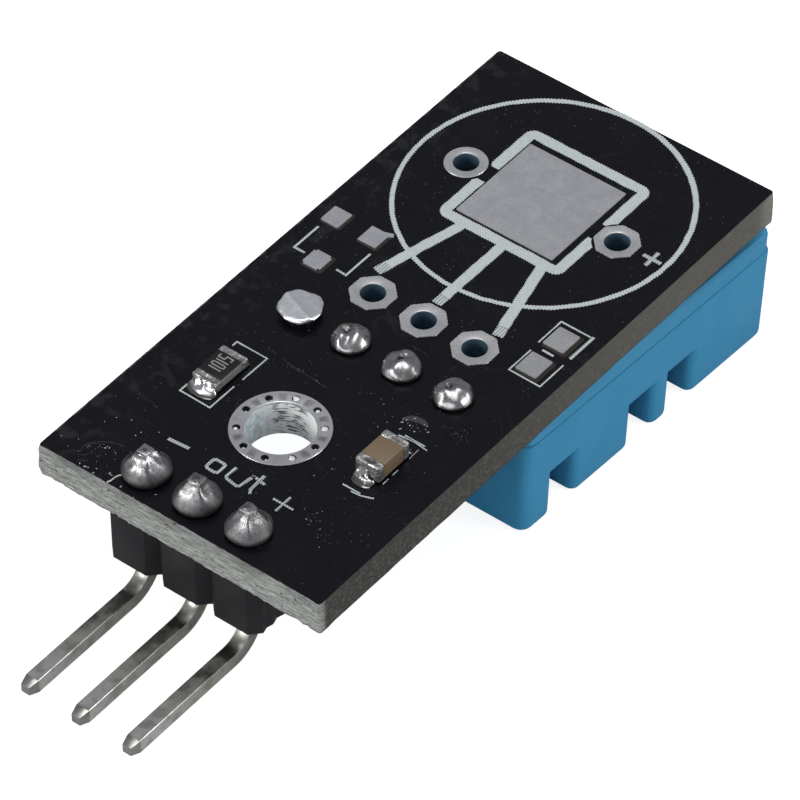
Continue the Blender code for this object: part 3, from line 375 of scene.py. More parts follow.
shown = ramp(fine_lines, breaks.outputs[0], math(fine_lines, "SUBTRACT", 1.0, given["Share"]), 1.0)
fine_lines.links.new(math(fine_lines, "MULTIPLY", line, shown, clamp=True), out)
print("shared effects:", [group.name for group in (blotches, specks, fine_lines)])

# %% [markdown]
# Every finish starts alike: object coordinates, turned level and scaled to millimetres from the board's
# own corner, and one principled shader. The helper class keeps the two together, so that a finish is a
# short list of what varies on it. Where a colour lies only where several masks are white, they are
# given as a group and multiplied.

# %% A finish and its coordinates
class Finish:
    def __init__(self, name, colour, roughness, metallic=0.0, place=BOARD_PLACE, **fixed):
        self.material = bpy.data.materials.new(name)
        self.material.use_nodes = True
        self.tree = self.material.node_tree
        self.shader = self.tree.nodes["Principled BSDF"]
        self.colour = (*colour, 1.0)
        self.height = None
        values = {"Base Color": self.colour, "Roughness": roughness, "Metallic": metallic, **fixed}
        for label, value in values.items():
            self.shader.inputs[label.replace("_", " ")].default_value = value
        there = place.inverted()
        source = self.tree.nodes.new("ShaderNodeTexCoord").outputs["Object"]
        self.at = add_node(self.tree, "ShaderNodeMapping", {
            "Vector": source, "Location": there.to_translation(),
            "Rotation": there.to_euler(), "Scale": there.to_scale(),
        }).outputs[0]

    def xyz(self):
        return add_node(self.tree, "ShaderNodeSeparateXYZ", {0: self.at}).outputs

    def moved(self, x, y, turn=0.0):
        """The coordinates, moved, and turned by an angle in degrees."""
        moves = {"Vector": self.at, "Location": (x, y, 0.0), "Rotation": (0.0, 0.0, radians(turn))}
        return add_node(self.tree, "ShaderNodeMapping", moves).outputs[0]

    def squeezed(self, x, y, z):
        """The coordinates, multiplied, so that a pattern gets finer along an axis with a high number."""
        factors = {0: self.at, 1: (x, y, z)}
        return add_node(self.tree, "ShaderNodeVectorMath", factors, operation="MULTIPLY").outputs[0]

    def math(self, operation, first, second=0.0):
        return math(self.tree, operation, first, second)

    def times(self, *factors):
        product = factors[0]
        for factor in factors[1:]:
            product = math(self.tree, "MULTIPLY", product, factor)
        return product

    def minus(self, first, second):
        return math(self.tree, "SUBTRACT", first, second)

    def squares(self, x, y):
        return math(self.tree, "ADD", self.times(x, x), self.times(y, y))

    def fade(self, value, low, high, *new_range):
        """0 where the value is low and 1 where it is high, with soft ends."""
        return ramp(self.tree, value, low, high, *new_range)

    def effect(self, group, at, **numbers):
        inputs = {"Vector": at or self.at, **numbers}
        return add_node(self.tree, "ShaderNodeGroup", inputs, node_tree=group).outputs[0]

    def patches(self, size, low, high, detail=4.0, at=None):
        return self.effect(blotches, at, Size=size, Low=low, High=high, Detail=detail)

    def dots(self, spacing, size, share):
        return self.effect(specks, None, Spacing=spacing, Size=size, Share=share)

    def scratches(self, at, length, spacing, width, share):
        return self.effect(fine_lines, at, Length=length, Spacing=spacing, Width=width, Share=share)

    def tint(self, masks, colour, strength=1.0):
        """Lays a colour over what is there, where the mask is white, or where all of several masks are."""
        masks = masks if isinstance(masks, tuple) else (masks,)
        sockets = {0: self.times(*masks, strength), 6: self.colour, 7: (*colour, 1.0)}
        self.colour = add_node(self.tree, "ShaderNodeMix", sockets, data_type="RGBA").outputs[2]
        self.tree.links.new(self.colour, self.shader.inputs["Base Color"])
        return self

    def vary(self, socket, mask, low, high):
        """Lets a shader value run from low, where the mask is black, to high."""
        self.tree.links.new(self.fade(mask, 0.0, 1.0, low, high), self.shader.inputs[socket])
        return self

    def raise_by(self, mask, millimetres):
        """Adds relief: the mask's white stands that much above its black."""
        part = self.times(mask, millimetres * MM)
        self.height = part if self.height is None else self.math("ADD", self.height, part)
        return self

    def made(self):
        if self.height is not None:
            relief = {"Height": self.height, "Distance": 1.0, "Strength": 1.0}
            bump = add_node(self.tree, "ShaderNodeBump", relief)
            self.tree.links.new(bump.outputs[0], self.shader.inputs["Normal"])
        return self.material


def shade(colour, factor):
    return tuple(factor * part for part in colour)

# %% [markdown]
# The board is glass fibre under a coat of black solder mask. The mask is semi-gloss, with specks of dust,
# hair-fine scratches and a little dried flux. At the edges the fibre shows: the near edge was snapped
# off a panel and is pale and rough, and the long edge was milled and is brown-grey. One material does
# all of this: height tells the faces from the edges, and X and Y tell one edge from another.

# %% Board finish: the mask
SCRATCH_GREY = (0.05, 0.05, 0.052)
board = Finish("board_mask_and_fibre", (0.0026, 0.0026, 0.0048), 0.3, IOR=1.32)
across, along, up = board.xyz()
cloudy = board.patches(3.0, 0.42, 0.68)
dust = board.dots(0.5, 0.045, 0.7)
fine_dust = board.dots(0.2, 0.026, 0.6)
board.tint(cloudy, (0.004, 0.004, 0.006))
board.tint(board.scratches(board.moved(3.0, 1.0, 35), 5.0, 1.4, 0.012, 0.6), SCRATCH_GREY, 0.45)
board.tint(board.scratches(board.moved(1.0, 7.0, -52), 4.0, 1.2, 0.01, 0.6), SCRATCH_GREY, 0.45)
board.tint(fine_dust, (0.09, 0.09, 0.092), 0.5)
board.tint((fine_dust, board.patches(2.6, 0.46, 0.66)), (0.2, 0.205, 0.21), 0.8)
board.tint(dust, (0.1, 0.1, 0.1), 0.6)
handled = board.patches(0.7, 0.5, 0.64, 9.0, board.moved(2.0, 9.0))
board.tint((board.fade(across, -4.6, -6.4), handled), (0.035, 0.036, 0.038), 0.35)
edge_line = board.fade(across, -6.86, -6.91)
board.tint((edge_line, board.patches(0.7, 0.45, 0.6)), (0.12, 0.12, 0.12), 0.7)

# %% Board finish: the fibre at its edges
EDGE_MARGIN = 0.035
EDGE_BLEND = 0.01
below_top = board.fade(up, -EDGE_MARGIN + EDGE_BLEND, -EDGE_MARGIN)
above_bottom = board.fade(up, -BOARD_THICKNESS + EDGE_MARGIN - EDGE_BLEND, -BOARD_THICKNESS + EDGE_MARGIN)
edge = board.times(below_top, above_bottom)
fibres = board.patches(0.5, 0.42, 0.6, 8.0, board.squeezed(0.4, 0.4, 6.5))
fine_fibres = board.patches(0.5, 0.44, 0.6, 5.0, board.squeezed(0.8, 0.8, 10.0))
crumbled = board.patches(0.14, 0.46, 0.6, 6.0)
near_edge = board.times(edge, board.fade(along, 0.4, 0.1))
board.tint(edge, (0.058, 0.056, 0.051))
board.tint((edge, board.fade(along, 4.0, 27.0)), (0.15, 0.145, 0.125))
board.tint((edge, crumbled), (0.17, 0.165, 0.148), 0.45)
board.tint((edge, fine_fibres), (0.055, 0.053, 0.048), 0.22)
board.tint((edge, board.fade(along, 27.7, 28.7)), (0.27, 0.28, 0.235), 0.8)
board.tint(near_edge, (0.31, 0.32, 0.295))
board.tint((near_edge, fibres), (0.57, 0.59, 0.56), 0.75)
board.tint((near_edge, fine_fibres), (0.08, 0.085, 0.08), 0.6)
board.tint((near_edge, crumbled), (0.42, 0.44, 0.42), 0.35)
# Painted shade: the near edge is painted darker in its upper part, below the mask.
painted_shade_below_mask = board.times(board.fade(up, -0.8, -0.15), board.patches(2.2, 0.38, 0.6))
board.tint((near_edge, painted_shade_below_mask), (0.13, 0.14, 0.125), 0.6)
torn_spots = board.patches(0.26, 0.61, 0.68, 6.0, board.squeezed(0.7, 0.7, 1.9))
board.tint((near_edge, torn_spots), (0.03, 0.032, 0.03), 0.85)
board.vary("Roughness", edge, 0.3, 0.8)
board.raise_by(cloudy, 0.002).raise_by(dust, 0.006)
board.raise_by(board.times(edge, fine_fibres), -0.014)
board.raise_by(board.times(edge, crumbled), 0.02)
board_finish = board.made()
print("nodes in the board's finish:", len(board.tree.nodes))

# %% [markdown]
# The tin on pads and rings is a dull pale grey with soft blotches, a few stains and faint rubbed lines.
# The rings' bores are darker, because the hole shows no light. So one function makes the tin, and the
# height tells it where a bore starts.

# %% Tin
BORE_TOP = 0.05
BORE_DARK = 0.01


def tin_finish(name, colour, roughness, stain, bore=None):
    tin = Finish(name, colour, roughness, metallic=0.75)
    soft = tin.patches(0.9, 0.35, 0.7)
    fine = tin.patches(0.1, 0.4, 0.7)
    tin.tint(soft, shade(colour, 0.86), 0.6)
    tin.tint(fine, shade(colour, 1.2), 0.5)
    tin.tint(tin.patches(0.35, 0.4, 0.7), shade(colour, 0.82), 0.35)
    tin.tint(tin.dots(0.5, 0.05, 0.25), stain, 0.5)
    tin.tint(tin.scratches(tin.moved(2.0, 5.0, 50), 2.0, 0.5, 0.01, 0.6), shade(colour, 0.6), 0.5)
    tin.vary("Roughness", soft, roughness, roughness + 0.12)
    if bore:
        inside_bore = tin.fade(tin.xyz()[2], BORE_TOP, BORE_DARK)
        tin.tint(inside_bore, bore)
        tin.vary("Metallic", inside_bore, 0.75, 0.0)
    tin.raise_by(soft, 0.003).raise_by(fine, 0.0008)
    return tin.made()


tin_pad = tin_finish("tin_on_pads", (0.54, 0.542, 0.565), 0.42, (0.25, 0.24, 0.23))
tin_small_pad = tin_finish("tin_on_small_pads", (0.49, 0.492, 0.512), 0.42, (0.22, 0.21, 0.2))
tin_round_dark_bore = tin_finish(
    "tin_round_a_dark_bore", (0.6, 0.6, 0.61), 0.36, (0.34, 0.34, 0.33), (0.036, 0.072, 0.105),
)

# %% [markdown]
# Solder is much brighter than tin and mirrors its surroundings, with brown flux stains here and there.
# Three of the sensor's joints also hold a dark pool of flux beside the pin. It has the same place on
# each of them, so the material counts off the pitch of the pins and measures from the pool's middle.

# %% Solder of the flat and domed joints
HOLE_PITCH = 2.54
SENSOR_OFFSET = 0.28
POOL_OFFSET = -0.12
POOL_Y = 11.78
ALL_POSITIVE = 50.0
POOL_PHASE = (ALL_POSITIVE + HOLE_PITCH / 2 + POOL_OFFSET) / HOLE_PITCH % 1.0


def off_pool(solder):
    """The distance from the middle of the nearest pool of flux, with an uneven rim."""
    x, y, z = solder.xyz()
    pitches = solder.math("DIVIDE", solder.math("ADD", x, ALL_POSITIVE - SENSOR_OFFSET), HOLE_PITCH)
    local_x = solder.times(solder.minus(solder.math("FRACT", pitches), POOL_PHASE), HOLE_PITCH)
    away = solder.math("SQRT", solder.squares(local_x, solder.minus(y, POOL_Y)))
    return solder.math("ADD", away, solder.times(solder.patches(0.22, 0.3, 0.7), 0.22))


def solder_finish(name, colour, roughness, grain, stain_share, pooled=False, foot_height=0.22, patch=0.65):
    solder = Finish(name, colour, roughness, metallic=1.0)
    soft = solder.patches(0.4, 0.4, 0.65)
    fine = solder.patches(0.08, 0.4, 0.7, 2.0)
    solder.tint(soft, shade(colour, patch), 0.8)
    stains = solder.patches(0.35, 1.0 - stain_share - 0.04, 1.0 - stain_share + 0.16)
    solder.tint(stains, (0.11, 0.095, 0.07), 0.8)
    if pooled:
        solder.tint(solder.fade(off_pool(solder), 0.3, 0.18), (0.05, 0.045, 0.035), 0.85)
    # Darker at the foot: a rim of flux, and on the flat lump, where this reaches higher, also painted shade
    # under its overhanging top.
    foot_flux_and_shade = solder.fade(solder.xyz()[2], foot_height, foot_height * 0.4)
    solder.tint(foot_flux_and_shade, (0.08, 0.07, 0.05), 0.8)
    solder.vary("Roughness", soft, roughness, roughness + 0.1)
    solder.raise_by(soft, 0.002).raise_by(fine, grain)
    return solder.made()


solder_bright = solder_finish("bright_solder", (0.42, 0.42, 0.425), 0.25, 0.0004, 0.42, True)
solder_gleaming = solder_finish("gleaming_solder", (0.8, 0.8, 0.81), 0.2, 0.0004, 0.3)
# The flat lump's darker foot reaches half a millimetre: painted shade under its overhanging top, over a rim
# of flux.
solder_flat = solder_finish(
    "flat_topped_solder", (0.95, 0.97, 1.0), 0.34, 0.0006, 0.2, foot_height=0.5, patch=0.88,
)

# %% [markdown]
# The end caps of the chip parts are dipped metal, worn in dark patches. The near cap of the capacitor has a
# hollow in its top, painted dark as shade; the dark is an ellipse in X and Y that counts only above the
# cap's sides.

# %% End caps
HOLLOW_AT = (4.26, 6.48)
HOLLOW_REACH = (0.3, 0.13)
dull_cap = Finish("dull_end_caps", (0.45, 0.45, 0.44), 0.32, metallic=0.85)
worn = dull_cap.patches(0.32, 0.42, 0.62, 5.0)
grainy = dull_cap.patches(0.07, 0.4, 0.65)
dull_cap.tint(worn, (0.13, 0.125, 0.12), 0.75).tint(grainy, (0.5, 0.5, 0.49), 0.3)
cap_x, cap_y, cap_z = dull_cap.xyz()
off_x = dull_cap.math("DIVIDE", dull_cap.minus(cap_x, HOLLOW_AT[0]), HOLLOW_REACH[0])
off_y = dull_cap.math("DIVIDE", dull_cap.minus(cap_y, HOLLOW_AT[1]), HOLLOW_REACH[1])
painted_shade_in_hollow = (dull_cap.fade(dull_cap.squares(off_x, off_y), 1.1, 0.5), dull_cap.fade(cap_z, 0.6, 0.7))
# Painted shade: the hollow in the near cap is painted dark.
dull_cap.tint(painted_shade_in_hollow, (0.07, 0.07, 0.068), 0.75)
dull_cap.vary("Roughness", worn, 0.28, 0.5).raise_by(worn, -0.02).raise_by(grainy, 0.002)
tin_cap = dull_cap.made()

# %% [markdown]
# The three joints of the header stand higher. Each cooled dull at its foot, stayed bright up its cone and
# keeps a rim of flux. The bright part fades in with the height, and lines drawn up the cone break it.

# %% Solder of the header joints
def cone_finish(name, dull, bright, shine, grain):
    cone = Finish(name, (dull, dull, dull * 1.03), 0.55, metallic=1.0)
    height = cone.xyz()[2]
    soft = cone.patches(0.5, 0.35, 0.6)
    bright_part = cone.times(cone.fade(height, 0.45, 0.85), cone.fade(soft, -0.6, 1.0))
    cone.tint(bright_part, (bright, bright, bright * 1.02))
    cone.tint(cone.fade(height, 1.12, 1.2), (0.24, 0.24, 0.25), 0.8)
    drawn_lines = cone.patches(0.5, 0.4, 0.65, at=cone.squeezed(6.0, 6.0, 0.7))
    cone.tint(drawn_lines, (dull * 0.6, dull * 0.6, dull * 0.6), 0.45)
    cone.tint(cone.patches(0.3, 0.58, 0.68), (0.075, 0.06, 0.045), 0.7)
    cone.tint(cone.fade(height, 0.2, 0.05), (0.06, 0.05, 0.03), 0.8)
    fine = cone.patches(0.07, 0.4, 0.7)
    cone.vary("Roughness", bright_part, 0.56, shine)
    cone.raise_by(fine, grain).raise_by(soft, 0.006)
    return cone.made()


solder_cone = cone_finish("solder_cones", 0.14, 0.3, 0.2, 0.0004)
solder_dull_cone = cone_finish("dull_solder_cones", 0.16, 0.27, 0.34, 0.0012)
solder_frosted = cone_finish("frosted_solder", 0.17, 0.3, 0.34, 0.004)
print("kinds of solder:", [made.name for made in bpy.data.materials if "solder" in made.name])

# %% [markdown]
# The mounting hole is plated: a barrel, scored by the drill, and a ring with a dent between each
# two of its ten small through holes. The barrel's wall is painted near white and made almost non-metallic,
# as painted light in the bore, greyer towards its left, with a painted blue reflection at its far left.
# The dents follow from the angle round the hole's middle, and the scores are one stretched pattern that
# shows only on a part of the barrel's wall.

# %% Barrel and ring of the mounting hole
MOUNT = (-0.12, 6.35)
barrel = Finish("scored_barrel", (0.56, 0.56, 0.57), 0.34, metallic=0.75)
hole_x, hole_y, hole_z = barrel.xyz()
low_in_hole = barrel.fade(hole_z, 0.03, -0.06)
scored = barrel.patches(0.42, 0.52, 0.58, 3.0, barrel.squeezed(1.0, 1.0, 5.0))
scored_where = barrel.times(barrel.fade(hole_x, -1.4, -1.1), barrel.fade(hole_x, 0.3, -0.3))
deep_scores = barrel.times(scored, scored_where, low_in_hole)
# Painted light: the bore's wall is painted near white, made almost non-metallic and painted greyer towards
# its left.
barrel.tint(low_in_hole, (0.98, 0.99, 0.97))
barrel.tint((low_in_hole, barrel.fade(hole_x, 0.9, -1.0)), (0.6, 0.65, 0.66), 0.5)
barrel.vary("Metallic", low_in_hole, 0.75, 0.1)
barrel.tint(deep_scores, (0.06, 0.06, 0.06), 0.9)
# Painted reflection: the far left of the bore is painted blue.
painted_blue_reflection = (barrel.fade(hole_x, -1.2, -1.5), barrel.patches(0.2, 0.3, 0.7, 6.0), low_in_hole)
barrel.tint(painted_blue_reflection, (0.16, 0.33, 0.42), 0.7)
ring_x = barrel.minus(hole_x, MOUNT[0])
ring_y = barrel.minus(hole_y, MOUNT[1])
ring_angle = barrel.minus(barrel.math("ARCTAN2", ring_y, ring_x), 0.32)
between_vias = barrel.math("COSINE", barrel.times(ring_angle, 10.0))
off_circle = barrel.math("ABSOLUTE", barrel.minus(barrel.math("SQRT", barrel.squares(ring_x, ring_y)), 1.72))
dents = barrel.times(
    barrel.fade(between_vias, 0.3, 1.0), barrel.fade(off_circle, 0.26, 0.1), barrel.patches(1.3, 0.36, 0.52),
)
barrel.tint(dents, (0.2, 0.2, 0.205), 0.75)
grey_patches = barrel.patches(0.3, 0.45, 0.65)
barrel.tint(grey_patches, (0.66, 0.66, 0.66), 0.35)
barrel.vary("Roughness", low_in_hole, 0.32, 0.5)
barrel.raise_by(deep_scores, -0.02).raise_by(dents, -0.012).raise_by(grey_patches, 0.002)
barrel_finish = barrel.made()

# %% [markdown]
# The header's pins are drawn square wire, so their scratches run along them. They are darker where the
# board shades them, at their tapered ends, and where the solder's flux has dried on them.

# %% Pin metal
pin = Finish("drawn_pin_metal", (0.75, 0.745, 0.73), 0.26, metallic=1.0)
drawn = pin.scratches(pin.moved(0.0, 0.0, 90), 3.0, 0.12, 0.06, 0.8)
dull = pin.patches(0.9, 0.3, 0.7, 2.0)
brown = pin.patches(0.6, 0.45, 0.65, 6.0, pin.moved(4.0, 2.0))
pin_y, pin_z = pin.xyz()[1:]
under_board = pin.fade(pin_z, -3.9, -4.2)
pin.tint(dull, (0.62, 0.61, 0.58), 0.7)
pin.tint((pin.fade(pin_y, -4.6, -2.2), under_board), (0.55, 0.535, 0.49), 0.9)
pin.tint((under_board, pin.fade(pin_z, -5.35, -4.85)), (0.1, 0.095, 0.085), 0.85)
pin.tint(pin.fade(pin_y, -5.7, -5.8), (0.33, 0.325, 0.31), 0.85)
pin.tint(pin.fade(pin_z, 0.3, 0.5), (0.4, 0.4, 0.41), 0.95)
pin.tint(drawn, (0.4, 0.39, 0.36), 0.4).tint(brown, (0.24, 0.225, 0.16), 0.45)
pin.vary("Roughness", dull, 0.24, 0.38).raise_by(drawn, 0.0006)
pin_finish = pin.made()

# %% [markdown]
# Plastics, ceramic, glaze and flux all have a faint grain that breaks up the reflections, a second tone in
# soft patches and a little lint. So one function makes them, from two tones, a roughness and a grain.

# %% Other finishes
def moulded_finish(name, colour, dark, roughness, place=BOARD_PLACE, grain=0.05, **fixed):
    moulded = Finish(name, colour, roughness, place=place, **fixed)
    soft = moulded.patches(2.5, 0.35, 0.7)
    fine = moulded.patches(grain, 0.35, 0.7)
    moulded.tint(soft, dark, 0.5)
    moulded.tint(moulded.dots(0.6, 0.03, 0.12), tuple(min(1, 2.5 * c + 0.01) for c in colour), 0.4)
    moulded.vary("Roughness", soft, roughness, roughness + 0.08)
    moulded.raise_by(fine, 0.002).raise_by(soft, 0.004)
    return moulded.made()


blue_cover = moulded_finish(
    "blue_moulding", (0.047, 0.292, 0.52), (0.04, 0.268, 0.488), 0.4, CASE_PLACE, IOR=1.32,
)
blue_back = moulded_finish(
    "blue_back_moulding", (0.05, 0.3, 0.52), (0.042, 0.275, 0.49), 0.42, CASE_PLACE, IOR=1.32,
)
black_moulding = moulded_finish(
    "black_moulding", (0.0052, 0.0052, 0.0075), (0.004, 0.004, 0.006), 0.4, IOR=1.4,
)
green_mask = moulded_finish("green_solder_mask", (0.015, 0.13, 0.05), (0.012, 0.1, 0.04), 0.35, CASE_PLACE)
black_resin = moulded_finish("black_resin", (0.018, 0.018, 0.019), (0.014, 0.014, 0.015), 0.45, CASE_PLACE)
black_glaze = moulded_finish("black_glaze", (0.02, 0.02, 0.018), (0.013, 0.013, 0.012), 0.2, CASE_PLACE)
resistor_glaze = moulded_finish(
    "resistor_glaze", (0.01, 0.01, 0.0092), (0.007, 0.007, 0.0064), 0.32, IOR=1.4,
)
ceramic_white = moulded_finish("pale_ceramic", (0.2, 0.2, 0.195), (0.14, 0.14, 0.135), 0.5, grain=0.03)
ceramic_tan = moulded_finish("tan_ceramic", (0.2, 0.148, 0.092), (0.16, 0.112, 0.065), 0.35, grain=0.08)
# Painted highlight: the solder beads and the hair of solder are painted plain white instead of metal, as
# glints.
painted_glint = moulded_finish("solder_painted_white_as_glint", (0.75, 0.75, 0.76), (0.5, 0.5, 0.5), 0.2)
digit_ink = moulded_finish("digit_ink", (0.28, 0.28, 0.262), (0.22, 0.22, 0.207), 0.5)
bare_laminate = moulded_finish("bare_laminate", (0.022, 0.018, 0.01), (0.014, 0.012, 0.008), 0.3)
flux = moulded_finish("dry_flux", (0.5, 0.505, 0.51), (0.3, 0.3, 0.29), 0.4)
thin_flux = moulded_finish("thin_flux", (0.045, 0.046, 0.05), (0.02, 0.02, 0.024), 0.42)

# %% [markdown]
# The ink is printed through a fine screen, so its cover is a little uneven. The smallest marks and the ends
# of the legs show the screen itself as dark stripes, so they get a second ink with stripes in it.

# %% White ink, full and screened
SCREEN_PITCH = 0.125


def ink_finish_of(name, screened):
    ink = Finish(name, (0.46, 0.51, 0.5), 0.55)
    patchy = ink.patches(0.12, 0.3, 0.62, 5.0)
    ink.tint(patchy, (0.53, 0.58, 0.57), 0.8)
    ink.tint(ink.dots(0.16, 0.03, 0.2), (0.3, 0.32, 0.32), 0.7)
    if screened:
        stripes = ink.math("DIVIDE", ink.math("ADD", ink.xyz()[0], ALL_POSITIVE), SCREEN_PITCH)
        share = ink.math("FRACT", stripes)
        off_middle = ink.math("ABSOLUTE", ink.minus(share, 0.5))
        ink.tint(ink.fade(off_middle, 0.24, 0.1), (0.06, 0.066, 0.07), 0.65)
    ink.raise_by(patchy, 0.003)
    return ink.made()


ink_full = ink_finish_of("white_ink", False)
ink_screened = ink_finish_of("white_ink_through_a_screen", True)
print("finishes so far:", len(bpy.data.materials))

# %% [markdown]
# The board itself. On the real module it is cut from a panel, drilled and printed. Here a cube gets the
# board's size, its upright corners are rounded, and its near and right faces are divided finely and
# pushed in and out a little, because they are broken and milled fibre. Then one cutter drills all holes.

# %% Holes in the board
SEAT_GAP = 0.02
HEADER_OFFSET = -0.12
MOUNT_BORE = 1.42
VIA_CIRCLE = 1.71
VIA_RADIUS = 0.165
HEADER_Y = 1.35
header_columns = [HEADER_OFFSET + HOLE_PITCH * k for k in (-1, 0, 1)]
SENSOR_ROW_Y = 11.76
sensor_columns = [SENSOR_OFFSET + HOLE_PITCH * k for k in (-1.5, -0.5, 0.5, 1.5)]
SPARE_OFFSET = 0.52
SPARE_Y = 14.43
spare_columns = [SPARE_OFFSET + HOLE_PITCH * k for k in (-1, 0, 1)]
SIDE_Y = 22.67
side_columns = (-3.81, 3.81)
via_angles = [radians(36 * k + 0.5) for k in range(10)]
via_places = [(MOUNT[0] + VIA_CIRCLE * cos(a), MOUNT[1] + VIA_CIRCLE * sin(a)) for a in via_angles]
holes = [(*MOUNT, MOUNT_BORE + 0.07, 64)]
holes += [(x, y, VIA_RADIUS, 20) for x, y in via_places]
for row, y, radius, steps in (
    (header_columns, HEADER_Y, 0.52, 24), (sensor_columns, SENSOR_ROW_Y, 0.42, 24),
    (spare_columns, SPARE_Y, 0.59, 32), (side_columns, SIDE_Y, 0.6, 32),
):
    holes += [(x, y, radius, steps) for x in row]
print("holes in the board:", len(holes))

# %% Board
CORNER_MARGIN = 0.5
TORN_CORNER = 0.16
LAYERS = 8


def with_neighbours(faces):
    """Faces together with their edges and points, which is what a cut of only these faces needs."""
    return faces + list({e for f in faces for e in f.edges}) + list({v for f in faces for v in f.verts})


def board_block():
    bm = box((-BOARD_WIDTH / 2, 0.0, -BOARD_THICKNESS), (BOARD_WIDTH / 2, BOARD_LENGTH, 0.0))
    upright = [e for e in bm.edges if abs(e.verts[0].co.z - e.verts[1].co.z) > 1.0]
    chipped = [e for e in upright if e.verts[0].co.x > 0 and e.verts[0].co.y > 1]
    worn = [e for e in upright if e.verts[0].co.x < 0 and e.verts[0].co.y < 1]
    sharp = [e for e in upright if e not in chipped + worn]
    for edges, offset, segments in ((chipped, 0.1, 2), (worn, 0.1, 2), (sharp, 0.14, 3)):
        bmesh.ops.bevel(
            bm, geom=edges, offset=offset, offset_type="OFFSET", affect="EDGES",
            segments=segments, profile=0.5, material=-1,
        )
    for axis, spacing in ((0, 0.17), (1, 0.4)):
        low = min(v.co[axis] for v in bm.verts) + CORNER_MARGIN
        high = max(v.co[axis] for v in bm.verts) - CORNER_MARGIN
        steps = int((high - low) / spacing)
        normal = [float(axis == 0), float(axis == 1), 0.0]
        for step in range(steps + 1):
            spot = [0.0, 0.0, 0.0]
            spot[axis] = low + (high - low) * step / steps
            wall = [f for f in bm.faces if (f.normal.y < -0.9 if axis == 0 else f.normal.x > 0.9)]
            bmesh.ops.bisect_plane(bm, geom=with_neighbours(wall), plane_co=spot, plane_no=normal, dist=1e-5)
    bm.normal_update()
    for step in range(1, LAYERS):
        walls = with_neighbours([f for f in bm.faces if abs(f.normal.z) < 0.5])
        level = -BOARD_THICKNESS * step / LAYERS
        bmesh.ops.bisect_plane(bm, geom=walls, plane_co=(0, 0, level), plane_no=(0, 0, 1), dist=1e-5)
    return bm


def roughen(bm):
    """Pushes the near face in by up to a tenth of a millimetre, the right one by less, and swells two."""
    half = BOARD_WIDTH / 2
    for point in bm.verts:
        place = point.co
        belly = sin(pi * min(1.0, max(0.0, -place.z / BOARD_THICKNESS)))
        if place.y < 1e-4 and abs(place.x) < half - 0.45:
            wobble = noise.noise(Vector((place.x * 1.3, place.z * 6.0, 3.0)))
            teeth = noise.noise(Vector((place.x * 7.0, place.z * 9.0, 9.0)))
            low_edge = 0.04 if place.z < -BOARD_THICKNESS + 0.3 else 0.0
            place.y += 0.03 + 0.03 * wobble + (0.03 + low_edge) * teeth
            place.y -= 0.14 * belly * max(0.0, 1.0 - (place.x + half) / 1.6)
        near_left = place.x < -half + TORN_CORNER and place.y < TORN_CORNER
        far_right = place.x > half - TORN_CORNER and place.y > BOARD_LENGTH - TORN_CORNER
        if near_left or far_right:
            corner = Vector((-half, -TORN_CORNER, place.z) if near_left else (half, BOARD_LENGTH, place.z))
            torn = 0.75 + 0.5 * noise.noise(Vector((place.x * 4.0, place.y * 4.0, place.z * 7.0)))
            point.co = place.lerp(corner, min(1.0, belly ** 0.6 * torn))
        elif place.x > half - 1e-4 and CORNER_MARGIN < place.y < BOARD_LENGTH - CORNER_MARGIN:
            wobble = noise.noise(Vector((place.y * 1.5, place.z * 4.0, 6.0)))
            depth = 0.003 if place.z > -0.1 else 0.012 if place.z > -0.3 else 0.02
            place.x -= depth + depth * wobble
    return bm


laminate = object_from(roughen(board_block()), "board_laminate")
drills = [cylinder(x, y, radius, -BOARD_THICKNESS - 0.5, 0.5, steps) for x, y, radius, steps in holes]
drill = together(drills)
combined(laminate, drill)
piece(laminate, board_finish, "circuit_board", 30)
print("board faces:", len(laminate.data.polygons))

# %% [markdown]
# Plating lines the holes: a tube with a flat ring on each face. The CAD rings have few sides, so they are
# turned again here with many, with a small round where the ring dips into the hole. The rings of the
# spare row and of the right side hole are eight-sided, which is one cut with an eight-sided outline.

# %% Plated holes
RING_HEIGHT = 0.07
MOUNT_RING = 2.03
SPARE_RING = (0.925, 0.52)
SIDE_RING = (0.91, 0.53)


def plated_ring(name, x, y, ring, bore, finish, node, sides=0, steps=64, cutters=()):
    """A tube in its hole with a ring on both faces. With sides it is cut to a many-sided outline."""
    outer = ring / cos(pi / 8) if sides else ring
    top = RING_HEIGHT
    low = -BOARD_THICKNESS - RING_HEIGHT
    wall = bore + 0.05
    under = -BOARD_THICKNESS - SEAT_GAP
    profile = [
        (outer - 0.02, top), (outer, top - 0.02), (outer, SEAT_GAP), (wall, SEAT_GAP), (wall, under),
        (outer, under), (outer, low), (bore + 0.04, low), (bore + 0.012, low + 0.012),
        (bore, low + 0.04), (bore, top - 0.05), (bore + 0.014, top - 0.016), (bore + 0.05, top),
    ]
    made = object_from(turned(profile, steps, (x, y)), name)
    if sides:
        angles = [pi / sides + 2 * pi * k / sides for k in range(sides)]
        outline = [(x + outer * cos(a), y + outer * sin(a)) for a in angles]
        mould = flat_solid([jagged(rounded(outline, 0.1), 0.01, 0.1)], low - 0.2, top + 0.2)
        combined(made, mould, "INTERSECT")
    if cutters:
        combined(made, together(cutters))
    return piece(made, finish, node, 30)


